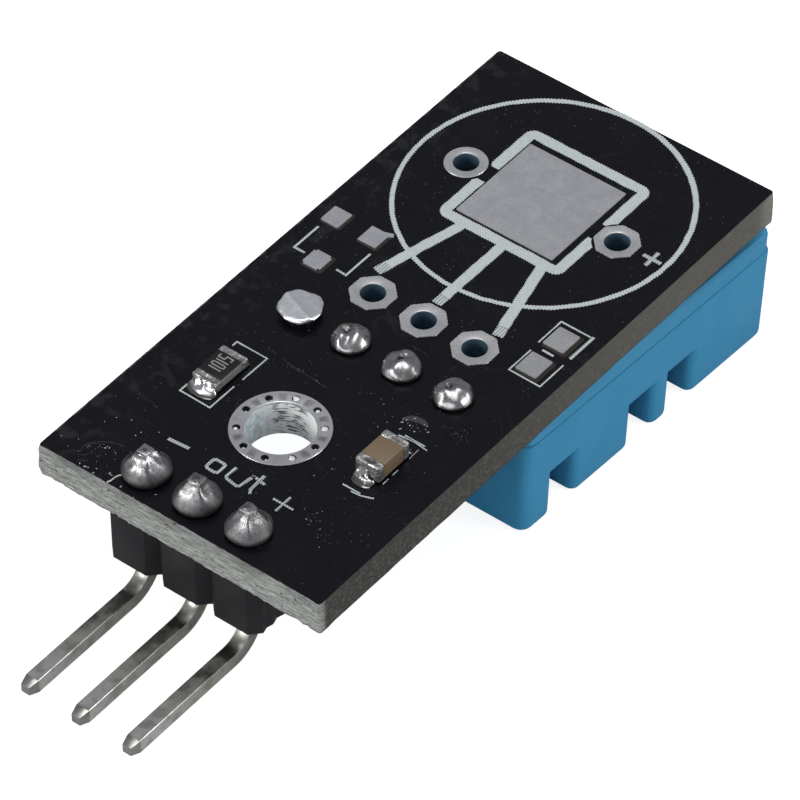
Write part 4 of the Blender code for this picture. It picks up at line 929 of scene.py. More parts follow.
mount_vias = [cylinder(x, y, VIA_RADIUS, -BOARD_THICKNESS - 0.4, 0.4, 20) for x, y in via_places]
plated_ring(
    "mount_ring", *MOUNT, MOUNT_RING, MOUNT_BORE, barrel_finish, "mounting_hole_plating", 0, 96, mount_vias,
)
other_rings = [
    ("spare_ring_%d" % k, x, SPARE_Y, *SPARE_RING, tin_round_dark_bore, "spare_hole_plating_%d" % k, 8)
    for k, x in enumerate(spare_columns, 1)
]
other_rings += [
    ("side_ring_" + side, x, SIDE_Y, *SIDE_RING, tin_round_dark_bore, "side_hole_plating_" + side, sides)
    for side, x, sides in zip(("left", "right"), side_columns, (0, 8))
]
for values in other_rings:
    plated_ring(*values)
print("plated holes:", 1 + len(other_rings))

# %% [markdown]
# Some of the small holes in the mounting ring caught a bead of solder. A bead is a flattened ball that
# leans against its hole's wall, and the larger beads carry a smaller one. The beads are painted plain
# white instead of metal, as a painted glint.

# %% Beads of solder in the vias
def bead(x, y, z, radius, flatness=0.7):
    bm = bmesh.new()
    bmesh.ops.create_icosphere(bm, subdivisions=2, radius=radius)
    bmesh.ops.scale(bm, vec=(1.0, 1.0, flatness), verts=bm.verts)
    bmesh.ops.translate(bm, vec=(x, y, z), verts=bm.verts)
    return bm


LARGE_BEAD = 0.12
bead_sizes = [0.05, 0.15, 0.1, 0.14, 0.04, 0.045, 0.095, 0.06, 0.05, 0.145]
beads = []
for number, ((x, y), size) in enumerate(zip(via_places, bead_sizes)):
    angle = radians(-50 + 90 * noise.noise(Vector((number * 1.7, 0.3, 0.0))))
    off = VIA_RADIUS - size
    beads.append(bead(x + off * cos(angle), y + off * sin(angle), 0.02, size))
    if size > LARGE_BEAD:
        beads.append(bead(x - 0.1, y + 0.02, 0.05, 0.055))
piece(object_from(together(beads), "via_beads"), painted_glint, angle=60)
print("beads:", len(beads))

# %% [markdown]
# Beside the small pads the mask stands back and the bare brown laminate shows. It is one thin film of
# rounded patches, a few thousandths of a millimetre proud, so that the pads lie on top of it.

# %% Bare laminate beside the pads
def bare_patch(low_x, high_x, low_y, high_y):
    middle = ((low_x + high_x) / 2, (low_y + high_y) / 2)
    return rounded(rectangle(*middle, high_x - low_x, high_y - low_y), 0.12, 3)


bare_places = (
    (4.93, 6.16, 16.16, 17.5), (4.93, 6.14, 14.42, 15.73),
    (-6.4, -5.33, 16.4, 17.52), (-4.5, -3.42, 16.38, 17.5), (-5.42, -4.36, 13.98, 15.1),
)
bare_film = flat_solid([bare_patch(*place) for place in bare_places], 0.003, 0.009)
piece(object_from(bare_film, "bare_laminate"), bare_laminate)
print("bare patches:", len(bare_places))

# %% [markdown]
# White ink. The drawing round the square pad is already a CAD node. The small marks are added here:
# the signs and the word by the pins, and thin lines round the parts and spare pads. Each stroke is an
# outline along a line, so that no two strokes overlap, and all of them become one film of ink.

# %% Strokes of ink
INK_LOW = 0.02
INK_HIGH = 0.045


def stroke(points, width):
    """The outline of a line of the given width, with mitred corners."""
    path = [Vector(p) for p in points]
    left = []
    right = []
    for index, here in enumerate(path):
        arriving = (here - path[index - 1]).normalized() if index else None
        leaving = (path[index + 1] - here).normalized() if index < len(path) - 1 else None
        arriving = arriving or leaving
        leaving = leaving or arriving
        along_line = (arriving + leaving).normalized()
        across_line = Vector((-along_line.y, along_line.x))
        reach = width / 2 / max(0.4, across_line.dot(Vector((-leaving.y, leaving.x))))
        left.append(here + across_line * reach)
        right.append(here - across_line * reach)
    return left + right[::-1]


def plus(x, y, reach_x, reach_y, width):
    w = width / 2
    return [
        (x - reach_x, y - w), (x - w, y - w), (x - w, y - reach_y), (x + w, y - reach_y),
        (x + w, y - w), (x + reach_x, y - w), (x + reach_x, y + w), (x + w, y + w),
        (x + w, y + reach_y), (x - w, y + reach_y), (x - w, y + w), (x - reach_x, y + w),
    ]


def strokes(*widths_and_paths):
    """Several strokes, each given as a width and the points of its line."""
    return [stroke(path, width) for width, *path in widths_and_paths]


signs = strokes((0.15, (-3.19, 3.26), (-2.19, 3.34)))
signs += [
    plus(2.54, 3.24, 0.5, 0.46, 0.095),
    rounded(rectangle(-0.79, 3.24, 0.7, 0.7), 0.17, 3),
    rounded(rectangle(-0.79, 3.24, 0.46, 0.46), 0.1, 3)[::-1],
]
signs += strokes(
    (0.125, (-0.1, 3.66), (-0.13, 3.08), (-0.04, 2.98), (0.5, 2.89), (0.61, 2.97), (0.7, 3.6)),
    (0.12, (0.82, 3.69), (0.98, 3.67)), (0.12, (1.12, 3.65), (1.34, 3.61)),
    (0.13, (1.03, 3.97), (1.06, 3.08), (1.2, 2.88)), (0.14, (6.37, 17.77), (6.36, 16.25)),
    (0.1, (-6.14, 16.1), (-6.14, 14.58), (-5.6, 14.58)), (0.1, (-3.5, 16.12), (-3.5, 14.58), (-4.0, 14.6)),
)

# %% [markdown]
# Thin lines box in the parts and the spare pads. Where the ink printed badly only slivers of a line are
# left. These lines are full ink, and the signs are screened ink, so they are two pieces.

# %% Lines round the parts
THIN = 0.06
lines = strokes(
    (THIN, (-4.52, 6.25), (-4.52, 5.57), (-3.0, 5.55), (-3.0, 7.03)),
    (THIN, (-2.98, 7.51), (-2.97, 9.01), (-4.5, 9.02), (-4.5, 8.75)),
    (0.05, (3.66, 5.48), (4.5, 5.49)), (0.055, (4.15, 5.37), (4.6, 5.41), (5.09, 5.6)),
    (0.05, (3.68, 8.86), (4.47, 8.93), (5.09, 8.86)), (0.055, (3.9, 9.0), (4.89, 8.99)),
    (0.026, (4.86, 7.36), (4.86, 7.02)), (0.032, (4.87, 6.76), (4.87, 6.42)),
    (0.02, (4.8, 8.7), (4.82, 8.1)),
    (THIN, (4.82, 16.23), (4.82, 17.7), (6.28, 17.7)),
    (THIN, (4.85, 15.71), (4.84, 14.32), (6.37, 14.31), (6.37, 15.8)),
    (0.09, (5.2, 15.98), (5.76, 15.97)),
)
for name, outlines, depth, finish in (
    ("ink_lines", lines, 0.008, ink_full), ("ink_marks", signs, 0.01, ink_screened),
):
    film = flat_solid([jagged(outline, depth) for outline in outlines], INK_LOW, INK_HIGH)
    piece(object_from(film, name), finish)
print("strokes:", len(signs + lines))

# %% [markdown]
# The large drawing: a circle, a frame round the square pad and three legs that run to the spare holes, as
# the outline of a spare part seen from above. The frame stops short of the two side rings, so round and
# square cutters clear it there. The legs' last half millimetre and the small plus are screened ink.

# %% Drawing round the square pad
DRAWING = (0.10, 22.73)
CIRCLE_RADIUS = 6.18
CIRCLE_LINE = 0.206
CIRCLE_THINNER = (-0.012, -0.018)
CIRCLE_TEETH = 0.024
FRAME_LOW = (-2.985, 19.61)
FRAME_HIGH = (3.185, 25.93)
FRAME_LINE = 0.48
LEG_WIDTH = 0.455
LEG_SPLAY = 0.245
LEG_REACH = 4.3


def leg(side):
    """One leg: from the frame's near edge down to a spare hole, splayed by its side."""
    root = Vector((0.33 + side * 2.01, FRAME_LOW[1] + 0.2))
    heading = Vector((side * LEG_SPLAY, -1.0))
    root -= Vector((side * LEG_SPLAY * 0.2, 0.0))
    return root, root + heading * LEG_REACH


ring_cutters = [cylinder(x, SIDE_Y, 1.04, -0.1, 0.3, 48) for x in side_columns]
for x in (-2.95, 2.95):
    ring_cutters.append(box((x - 0.5, SIDE_Y - 0.47, -0.1), (x + 0.5, SIDE_Y + 0.47, 0.3)))
frame_middle = [(a + b) / 2 for a, b in zip(FRAME_LOW, FRAME_HIGH)]
frame_size = [b - a for a, b in zip(FRAME_LOW, FRAME_HIGH)]
frame_outside = jagged(rounded(rectangle(*frame_middle, *frame_size), 0.45))
frame_inside = jagged(rectangle(*frame_middle, *(s - 2 * FRAME_LINE for s in frame_size)))[::-1]
frame_ink = object_from(flat_solid([frame_outside, frame_inside], INK_LOW, INK_HIGH + 0.002), "frame_ink")
for cutter in ring_cutters:
    combined(frame_ink, cutter)
frame_bm = bmesh.new()
frame_bm.from_mesh(frame_ink.data)
bpy.data.objects.remove(frame_ink)
inside_middle = [a + b for a, b in zip(DRAWING, CIRCLE_THINNER)]
circle_outside = jagged(circle(*DRAWING, CIRCLE_RADIUS, 180), CIRCLE_TEETH)
circle_inside = jagged(circle(*inside_middle, CIRCLE_RADIUS - CIRCLE_LINE, 180), CIRCLE_TEETH)[::-1]
drawn_parts = [frame_bm, flat_solid([circle_outside, circle_inside], INK_LOW, INK_HIGH)]
screened_parts = []
for side in (-1, 0, 1):
    start, end = leg(side)
    heading = (end - start).normalized()
    last = end - heading * (0.55 if side else 0.5)
    drawn_parts.append(flat_solid([jagged(stroke([start, last], LEG_WIDTH))], INK_LOW, INK_HIGH + 0.004))
    screened_parts.append(jagged(stroke([last + heading * 0.01, end], LEG_WIDTH)))
screened_parts.append(jagged(plus(5.49, 22.73, 0.44, 0.44, 0.17), 0.012))
drawing = piece(object_from(together(drawn_parts), "ink_drawing"), ink_full, "drawing_print")
leg_ends = object_from(flat_solid(screened_parts, INK_LOW, INK_HIGH), "ink_leg_ends")
piece(leg_ends, ink_screened)
print("faces in the drawing:", len(drawing.data.polygons))

# %% [markdown]
# The pin header. Its moulding is three blocks in a row with a V groove between them, where the strip can
# be snapped to length: seen from above it is one outline. Its right end was snapped, and is a bit ragged.

# %% Header moulding
PIN_SIZE = 0.64
HOUSING_TOP = -BOARD_THICKNESS - SEAT_GAP
HOUSING_DROP = 2.52
CORNER_CUT = 0.45


def housing_outline():
    near, far = HEADER_Y - 1.27, HEADER_Y + 1.27
    near_side = []
    far_side = []
    for x in header_columns:
        left, right = x - HOLE_PITCH / 2, x + HOLE_PITCH / 2
        near_side += [(left, near + CORNER_CUT), (left + CORNER_CUT, near), (right - CORNER_CUT, near)]
        far_side += [(left, far - CORNER_CUT), (left + CORNER_CUT, far), (right - CORNER_CUT, far)]
    ragged = [
        (right - 0.02, near + CORNER_CUT), (right - 0.1, near + 0.75), (right - 0.02, near + 1.05),
        (right - 0.12, near + 1.4), (right - 0.03, near + 1.7), (right - 0.05, far - CORNER_CUT),
    ]
    return near_side + ragged + far_side[::-1]


housing_holes = [rectangle(x, HEADER_Y, PIN_SIZE + 0.06, PIN_SIZE + 0.06)[::-1] for x in header_columns]
housing_plan = [rounded(housing_outline(), 0.03, 1), *housing_holes]
housing = flat_solid(housing_plan, HOUSING_TOP - HOUSING_DROP, HOUSING_TOP, 0.03, 1)
piece(object_from(housing, "header_moulding"), black_moulding, "header_housing", 25)
print("corners of the moulding:", len(housing_plan[0]))

# %% [markdown]
# Each pin is a square wire that was pressed into a bend. A block is the upright part, a spin of its lower
# face makes the bend, and extrusions make the straight part and the tapered tips. Then the inner faces
# go, the long edges get a soft round, and the large faces stay flat, so that only the edges shine.

# %% Header pins
PIN_TOP = 1.3
BEND_RADIUS = 1.42
PIN_LEVEL = -5.76
PIN_REACH = 7.57
TIP_TAPER = 0.45
TIP_SHARE = 0.66
SOFT_EDGE = 0.035


def grown_end(bm, face, direction, share):
    """Extrudes an end face and draws its new outline in."""
    grown = bmesh.ops.extrude_discrete_faces(bm, faces=[face])["faces"][0]
    bmesh.ops.translate(bm, verts=grown.verts, vec=direction)
    middle = grown.calc_center_median()
    bmesh.ops.scale(bm, vec=(share, share, share), verts=grown.verts, space=Matrix.Translation(-middle))
    return grown


def bent_pin(x):
    bend_start = PIN_LEVEL + BEND_RADIUS
    half = PIN_SIZE / 2
    bm = box((x - half, HEADER_Y - half, bend_start), (x + half, HEADER_Y + half, PIN_TOP - TIP_TAPER))
    top = max(bm.faces, key=lambda f: f.calc_center_median().z)
    grown_end(bm, top, (0.0, 0.0, TIP_TAPER), 0.76)
    bottom = min(bm.faces, key=lambda f: f.calc_center_median().z)
    bend = bmesh.ops.spin(
        bm, geom=[bottom], cent=(x, HEADER_Y - BEND_RADIUS, bend_start), axis=(1, 0, 0), dvec=(0, 0, 0),
        angle=-pi / 2, steps=14,
    )
    end = [g for g in bend["geom_last"] if isinstance(g, bmesh.types.BMFace)][0]
    end = grown_end(bm, end, (0, BEND_RADIUS + TIP_TAPER - PIN_REACH, 0), 1.0)
    grown_end(bm, end, (0, -TIP_TAPER, 0), TIP_SHARE)
    bmesh.ops.remove_doubles(bm, verts=bm.verts, dist=1e-5)
    inner = [f for f in bm.faces if all(len(e.link_faces) > 2 for e in f.edges)]
    bmesh.ops.delete(bm, geom=inner, context="FACES")
    bmesh.ops.recalc_face_normals(bm, faces=bm.faces)
    long_edges = [e for e in bm.edges if len(e.link_faces) == 2 and e.calc_face_angle() > radians(50)]
    bmesh.ops.bevel(
        bm, geom=long_edges, offset=SOFT_EDGE, offset_type="OFFSET", affect="EDGES",
        segments=2, profile=0.5, material=-1, clamp_overlap=True,
    )
    return bm


SMALLEST_FLAT = 0.3
for number, x in enumerate(header_columns, 1):
    wire = object_from(bent_pin(x), "bent_pin_%d" % number)
    piece(wire, pin_finish, "header_pin_%d" % number, 35)
    for face in wire.data.polygons:
        face.use_smooth = face.area < SMALLEST_FLAT * MM * MM
print("pin faces:", len(wire.data.polygons))

# %% [markdown]
# Solder joints. Molten solder pulls itself into a smooth skin that climbs the pin, so a joint starts as a
# turned profile. By hand no two joints come out alike: each one is then pushed about by slow noise with
# its own seed, and near its top the round section is drawn in to the square pin.
# The noise that gives whole vectors starts from the clock unless it is given a seed, so it gets one.

# %% Header joints
JOINT_SEED = 7
noise.seed_set(JOINT_SEED)


def uneven(bm, seed, push, size, floor=0.03):
    """Moves the points of a joint by slow noise, more the higher they stand."""
    for point in bm.verts:
        if point.co.z < floor:
            continue
        spot = point.co / size + Vector((seed * 7.1, seed * 3.3, seed * 5.7))
        shift = noise.noise_vector(spot) * push
        point.co += shift * min(1.0, (point.co.z - floor) / 0.25)
    return bm


def squared(bm, centre, low, high, half, twist):
    """Draws the round section in to a square one, turned a little, between two heights."""
    for point in bm.verts:
        if point.co.z < low:
            continue
        share = min(1.0, (point.co.z - low) / (high - low))
        arm = Vector((point.co.x - centre[0], point.co.y - centre[1]))
        if arm.length < 1e-4:
            continue
        angle = atan2(arm.y, arm.x) - twist
        square = half / max(abs(cos(angle)), abs(sin(angle)))
        wanted = arm.length * (1.0 + (square / half / 1.18 - 1.0) * share * 0.75)
        arm = arm.normalized() * wanted
        point.co.x = centre[0] + arm.x
        point.co.y = centre[1] + arm.y
    return bm


UNDER_BOARD = -BOARD_THICKNESS - SEAT_GAP
SKIN = (
    (0.97, 0.1), (1.0, 0.2), (0.99, 0.3), (0.94, 0.39), (0.88, 0.48), (0.81, 0.57), (0.735, 0.66),
    (0.66, 0.75), (0.57, 0.84), (0.48, 0.93), (0.405, 1.03), (0.355, 1.12),
)
SKIN_TOP = 1.12
header_joints = (
    (0.99, 1.18, 0.03, 0.03, 1.0, 0.0, solder_cone),
    (0.97, 1.22, 0.0, 0.05, 2.0, 10.0, solder_dull_cone),
    (0.95, 1.18, -0.02, 0.08, 3.0, -8.0, solder_frosted),
)
for number, (x, values) in enumerate(zip(header_columns, header_joints), 1):
    radius, height, swell, push, seed, twist, finish = values
    profile = [(0.0, UNDER_BOARD), (0.5, UNDER_BOARD), (0.5, SEAT_GAP), (radius * 0.9, SEAT_GAP)]
    for share, level in SKIN:
        bulge = swell * sin(pi * level / SKIN_TOP) ** 2
        profile.append((radius * (share + bulge), level * height / SKIN_TOP))
    profile += [(0.335, height + 0.03), (0.3, height + 0.06), (0.24, height + 0.09), (0.13, height + 0.12)]
    profile.append((0.0, height + 0.135))
    bm = turned(profile, 48, (x, HEADER_Y))
    squared(bm, (x, HEADER_Y), 0.35, 0.95, 0.33, radians(twist))
    uneven(bm, seed, push, 0.6)
    uneven(bm, seed + 4.0, 0.035, 0.28, 0.6)
    joint = object_from(bm, "header_joint_%d" % number)
    piece(joint, finish, "header_solder_%d" % number, 60)

# %% [markdown]
# The sensor's pins were cut short, so the solder closes over three of them in a dome. The domes are
# hammered and have one deep dent each, where the flux boiled. The fourth joint froze on a larger, flat lump
# with a ridge across its top. Each of these moves is a function that shifts the joint's points.

# %% Sensor joints
def dimpled(bm, centre, dents):
    """Presses round dents into a joint's top. A dent is its x, y, depth and radius."""
    for point in bm.verts:
        if point.co.z < 0.2:
            continue
        for x, y, depth, radius in dents:
            away = Vector((point.co.x - centre[0] - x, point.co.y - centre[1] - y)).length
            point.co.z -= depth * exp(-((away / radius) ** 2))
    return bm


def hammered(bm, centre, seed, depth, size):
    """Raises and lowers a joint's top in patches, and leaves its rim round."""
    for point in bm.verts:
        arm = Vector((point.co.x - centre[0], point.co.y - centre[1]))
        if point.co.z > 0.15:
            inner = max(0.0, 1.0 - (arm.length / 0.8) ** 4)
            spot = point.co / size + Vector((seed, seed * 2.0, seed * 5.0))
            point.co.z += depth * inner * noise.noise(spot)
    return bm


def ridged(bm, centre):
    """Tilts a flat top in two halves that meet in a ridge."""
    for point in bm.verts:
        if point.co.z < 0.47:
            continue
        x, y = point.co.x - centre[0], point.co.y - centre[1]
        point.co.z = 0.56 - 0.4 * max(0.0, 0.54 - point.co.z)
        across_ridge = 0.94 * y + 0.34 * x + 0.1
        ridge = 0.045 / (1.0 + (across_ridge / 0.05) ** 2)
        point.co.z += ridge - 0.1 * max(0.0, across_ridge) + 0.06 * min(0.0, across_ridge) - 0.03 * x
    return bm


foot = [
    (0.0, -BOARD_THICKNESS - 0.12), (0.39, -BOARD_THICKNESS - 0.1), (0.58, UNDER_BOARD),
    (0.4, UNDER_BOARD), (0.4, SEAT_GAP),
]
dome = foot + [
    (0.75, 0.02), (0.82, 0.08), (0.83, 0.17), (0.79, 0.28), (0.715, 0.4), (0.605, 0.51), (0.475, 0.59),
    (0.36, 0.63), (0.24, 0.65), (0.12, 0.66), (0.0, 0.66),
]
lump = foot + [
    (0.58, 0.02), (0.53, 0.11), (0.56, 0.2), (0.7, 0.28), (0.86, 0.34), (0.92, 0.4), (0.91, 0.45),
    (0.86, 0.5), (0.83, 0.54),
] + [(0.78 - 0.08 * step, 0.56) for step in range(10)] + [(0.0, 0.56)]
sensor_joints = (
    (lump, 0.1, 4.0, solder_flat, []),
    (dome, 0.05, 5.0, solder_bright, [(-0.24, -0.02, 0.1, 0.16)]),
    (dome, 0.06, 6.0, solder_bright, [(-0.1, 0.1, 0.13, 0.15)]),
    (dome, 0.05, 8.0, solder_bright, [(-0.16, -0.04, 0.16, 0.14)]),
)
for number, (x, (profile, push, seed, finish, dents)) in enumerate(zip(sensor_columns, sensor_joints), 1):
    bm = uneven(turned(profile, 64, (x, SENSOR_ROW_Y)), seed, push, 0.45)
    if profile is dome:
        hammered(bm, (x, SENSOR_ROW_Y), seed, 0.18, 0.42)
    dimpled(bm, (x, SENSOR_ROW_Y), dents)
    if profile is lump:
        ridged(bm, (x, SENSOR_ROW_Y))
    joint = object_from(bm, "sensor_joint_%d" % number)
    piece(joint, finish, "sensor_solder_%d" % number, 60)
print("solder joints:", len(header_joints) + len(sensor_joints))

# %% [markdown]
# The chip resistor and the chip capacitor. A resistor is a flat ceramic tile with a black glaze on top,
# a number in white and a metal cap round each end. A capacitor is a taller block of tan ceramic with
# dipped caps. Both sit in solder that climbs their ends. The CAD bodies and caps are replaced
# by blocks whose edges are rounded.

# %% Blocks with rounded edges
CHIP_Y = 7.24


def soft_block(low, high, edge, segments=3, divisions=0):
    bm = box(low, high)
    bmesh.ops.bevel(
        bm, geom=list(bm.edges), offset=edge, offset_type="OFFSET", affect="EDGES",
        segments=segments, profile=0.5, material=-1,
    )
    if divisions:
        bmesh.ops.subdivide_edges(bm, edges=list(bm.edges), cuts=divisions, use_grid_fill=True)
    return bm


RESISTOR = (-3.87, 1.25, 1.95, 0.46)
CAPACITOR = (4.2, 1.2, 1.95, 0.84)
SEAT = 0.06
BODY_INSET = 0.03
BODY_TUCK = 0.05
CAP_HOLLOWS = ((0.06, 0.1), (0.36, 0.05))


def chip_part(kind, values, band, coat, body_finish, edge, cap_edge):
    x, width, length, height = values
    half = width / 2
    near, far = CHIP_Y - length / 2, CHIP_Y + length / 2
    top = SEAT + height
    body_low = (x - half + BODY_INSET, near + band - BODY_TUCK, SEAT + BODY_INSET)
    body_high = (x + half - BODY_INSET, far - band + BODY_TUCK, top - BODY_INSET)
    body = object_from(soft_block(body_low, body_high, edge), kind + "_block")
    piece(body, body_finish, kind + "_body")
    for number, (low, high) in enumerate(((near, near + band), (far - band, far)), 1):
        cap = soft_block((x - half, low, SEAT), (x + half, high, top), cap_edge, 4, 3)
        hollow_x, hollow_depth = CAP_HOLLOWS[number - 1]
        middle = (low + high) / 2
        for point in cap.verts:
            dent = noise.noise(point.co * 2.3 + Vector((number * 3.0, height * 10, 1.0)))
            point.co.z += 0.035 * dent if point.co.z > SEAT + height * 0.6 else 0.0
            hollow = ((point.co.x - x - hollow_x) / 0.26) ** 2 + ((point.co.y - middle) / 0.11) ** 2
            if point.co.z > SEAT + height * 0.6:
                point.co.z -= hollow_depth * exp(-hollow)
            if number == 1 and point.co.y > middle or number == 2 and point.co.y < middle:
                point.co.y += 0.02 * noise.noise(Vector((point.co.x * 2.5, point.co.z * 3.0, number * 4.0)))
        cap = object_from(cap, "%s_cap_%d" % (kind, number))
        piece(cap, tin_cap, "%s_end_cap_%d" % (kind, number))
    if coat:
        glaze_low = (x - half + 0.05, near + band - 0.03, top - 0.04)
        glaze_high = (x + half - 0.05, far - band + 0.03, top + 0.02)
        glaze = object_from(soft_block(glaze_low, glaze_high, 0.025), kind + "_glaze")
        piece(glaze, resistor_glaze, "resistor_coat")


chip_part("resistor", RESISTOR, 0.36, True, ceramic_white, 0.04, 0.06)
chip_part("capacitor", CAPACITOR, 0.42, False, ceramic_tan, 0.06, 0.13)

# %% [markdown]
# The solder at a chip part's end is a wedge: high against the cap, hollow down its slope and thin at its
# foot. A small grid is bent into that slope, its rim is drawn down to the board and closed below, and
# the same slow noise as on the joints makes it uneven. One subdivision smooths it.

# %% Fillets of solder at the chip parts' ends
def fillet(name, x, end_y, side, width, length, height, seed, node, rough=1.0):
    """A wedge whose slope is hollow and whose surface is uneven. side is the way its foot points."""
    bm = bmesh.new()
    bmesh.ops.create_grid(bm, x_segments=18, y_segments=18, size=0.5)
    for point in bm.verts:
        out_share = point.co.y + 0.5
        side_share = point.co.x * 2
        spread = width / 2 * (1.0 + 0.12 * sin(pi * min(1.0, out_share * 1.2)))
        fall = (1.0 - out_share) ** 1.5
        roundness = (1.0 - abs(side_share) ** 3 * 0.75)
        reach = length * (1.0 - 0.35 * abs(side_share) ** 3)
        point.co = Vector((
            x + side_share * spread, end_y + side * out_share * reach, 0.02 + height * fall * roundness,
        ))
    rim = [e for e in bm.edges if e.is_boundary]
    skirt = bmesh.ops.extrude_edge_only(bm, edges=rim)
    lowered = [g for g in skirt["geom"] if isinstance(g, bmesh.types.BMVert)]
    for point in lowered:
        point.co.z = 0.02
    bmesh.ops.remove_doubles(bm, verts=bm.verts, dist=1e-4)
    open_edges = [e for e in bm.edges if e.is_boundary]
    bmesh.ops.holes_fill(bm, edges=open_edges, sides=0)
    uneven(bm, seed, 0.12 * rough, 0.4, 0.05)
    uneven(bm, seed + 5.0, 0.08 * rough, 0.22, 0.08)
    made = object_from(bm, name)
    smooth = made.modifiers.new("smooth", "SUBSURF")
    smooth.levels = 1
    smooth.render_levels = 1
    with_modifiers_applied(made)
    return piece(made, solder_gleaming, node, 60)


half_length = RESISTOR[2] / 2
near_y, far_y = CHIP_Y - half_length, CHIP_Y + half_length
fillet("resistor_fillet_near", RESISTOR[0], near_y, -1, 1.25, 0.56, 0.52, 11.0, "resistor_solder_1")
fillet("resistor_fillet_far", RESISTOR[0], far_y, 1, 1.1, 0.3, 0.3, 12.0, "resistor_solder_2")
fillet(
    "capacitor_fillet_near", CAPACITOR[0] - 0.06, near_y, -1, 0.9, 0.52, 0.46, 13.0,
    "capacitor_solder_1", 1.9,
)
fillet("capacitor_fillet_far", CAPACITOR[0], far_y, 1, 1.1, 0.36, 0.5, 14.0, "capacitor_solder_2")
print("fillets end at, in mm:", round(near_y, 2), round(far_y, 2))

# %% [markdown]
# The number on the resistor gives its resistance: 510 and one more zero. Its strokes run across the part,
# so they are drawn upright from the origin and turned as they are laid on the glaze.

# %% Number on the resistor
DIGIT_HEIGHT = 0.6
DIGIT_WIDTH = 0.17
DIGIT_STEP = 0.235
DIGIT_LINE = 0.062


def digit_strokes(digit, left):
    """The strokes of one digit, with its foot at the origin and its left edge at the given place."""
    right = left + DIGIT_WIDTH
    top, half = DIGIT_HEIGHT, DIGIT_HEIGHT / 2
    centre = (left + right) / 2
    if digit == "1":
        return [[(centre, 0.0), (centre, top)]]
    if digit == "0":
        sides = [[(x, 0.04), (x, top - 0.04)] for x in (left, right)]
        return sides + [[(left, y), (right, y)] for y in (top, 0.0)]
    return [[(right, top), (left, top), (left, half), (right, half), (right, 0.0), (left, 0.0)]]


def number_on_resistor(number):
    x, width, length, height = RESISTOR
    outlines = []
    for index, digit in enumerate(number):
        for points in digit_strokes(digit, index * DIGIT_STEP):
            outline = stroke(points, DIGIT_LINE)
            outlines.append([(x - 0.34 + v, 7.74 - u) for u, v in outline])
    film = together([flat_solid([o], SEAT + height + 0.018, SEAT + height + 0.026) for o in outlines])
    made = object_from(film, "resistor_number")
    return piece(made, digit_ink)


number_on_resistor("5101")

# %% [markdown]
# A soldered board is never clean. Flux dries into pale flakes round the joints and dust gathers there. The
# large flakes have their own places, and round some spots many small ones are scattered by a random
# generator with a fixed seed, so that they fall the same way each time.

# %% Crumbs of flux and dust
import random

chance = random.Random(7)


def flake(x, y, length, width, turn=0.0):
    """One flat grain with a ragged outline, longer than it is wide."""
    grain = bmesh.new()
    bmesh.ops.create_icosphere(grain, subdivisions=1, radius=0.5)
    for point in grain.verts:
        point.co *= 1.0 + 0.35 * noise.noise(point.co * 3.0 + Vector((x, y, 0.0)))
    bmesh.ops.scale(grain, vec=(length, width, 0.03), verts=grain.verts)
    bmesh.ops.rotate(grain, cent=(0, 0, 0), matrix=Matrix.Rotation(turn, 3, "Z"), verts=grain.verts)
    bmesh.ops.translate(grain, vec=(x, y, 0.008), verts=grain.verts)
    return grain


def crumbs(x, y, spread_x, spread_y, count, size):
    """Flakes scattered round a spot, most of them small."""
    grains = []
    for _ in range(count):
        place = (x + chance.gauss(0, spread_x), y + chance.gauss(0, spread_y))
        length = size * (0.4 + 1.4 * chance.random() ** 2)
        grains.append(flake(*place, length, length * (0.3 + 0.6 * chance.random()), pi * chance.random()))
    return grains


large_flakes = (
    (-4.79, 1.41, 0.1, 0.07), (-4.66, 1.51, 0.08, 0.06), (-4.29, 1.45, 0.08, 0.03),
    (-5.02, 0.17, 0.12, 0.05), (-4.75, 0.16, 0.16, 0.09), (-4.62, 0.2, 0.09, 0.06),
    (-4.33, 0.35, 0.07, 0.05), (-3.76, 0.47, 0.13, 0.08), (-3.64, 0.43, 0.08, 0.05),
    (-4.28, 0.1, 0.11, 0.05), (-2.97, 0.18, 0.12, 0.07), (-2.22, 0.03, 0.08, 0.04),
    (-1.64, 0.67, 0.09, 0.04), (-4.97, 3.2, 0.06, 0.05), (-4.24, 2.9, 0.07, 0.05),
    (-4.31, 2.65, 0.08, 0.05), (-3.7, 3.32, 0.05, 0.05), (-5.74, 2.48, 0.05, 0.04),
    (-5.52, 2.94, 0.05, 0.04), (-6.56, 0.87, 0.04, 0.04), (3.35, 9.52, 0.13, 0.07),
    (3.52, 9.19, 0.16, 0.05), (3.7, 9.56, 0.1, 0.06), (4.03, 9.63, 0.06, 0.04), (4.47, 9.7, 0.15, 0.06),
    (4.04, 9.4, 0.1, 0.06), (2.76, 8.75, 0.06, 0.05), (2.89, 9.16, 0.05, 0.04), (3.42, 9.72, 0.12, 0.04),
    (3.62, 9.98, 0.12, 0.05), (4.12, 9.94, 0.1, 0.05),
)
all_crumbs = [flake(*values, radians(40 + 25 * (number % 4))) for number, values in enumerate(large_flakes)]
for spot in (
    (-4.9, 0.9, 0.55, 0.45, 26, 0.035), (4.6, 3.0, 0.4, 0.25, 14, 0.034), (3.8, 9.6, 0.4, 0.22, 16, 0.04),
    (1.9, 9.9, 0.4, 0.3, 7, 0.035), (2.6, 5.2, 0.3, 0.9, 9, 0.035), (0.7, 3.72, 0.07, 0.05, 9, 0.06),
    (5.55, 10.35, 0.16, 0.2, 26, 0.02), (3.85, 3.35, 0.22, 0.25, 22, 0.022),
    (-1.4, 9.28, 0.7, 0.06, 18, 0.02),
):
    all_crumbs += crumbs(*spot)
piece(object_from(together(all_crumbs), "flux_crumbs"), flux, angle=70)
print("crumbs:", len(all_crumbs))

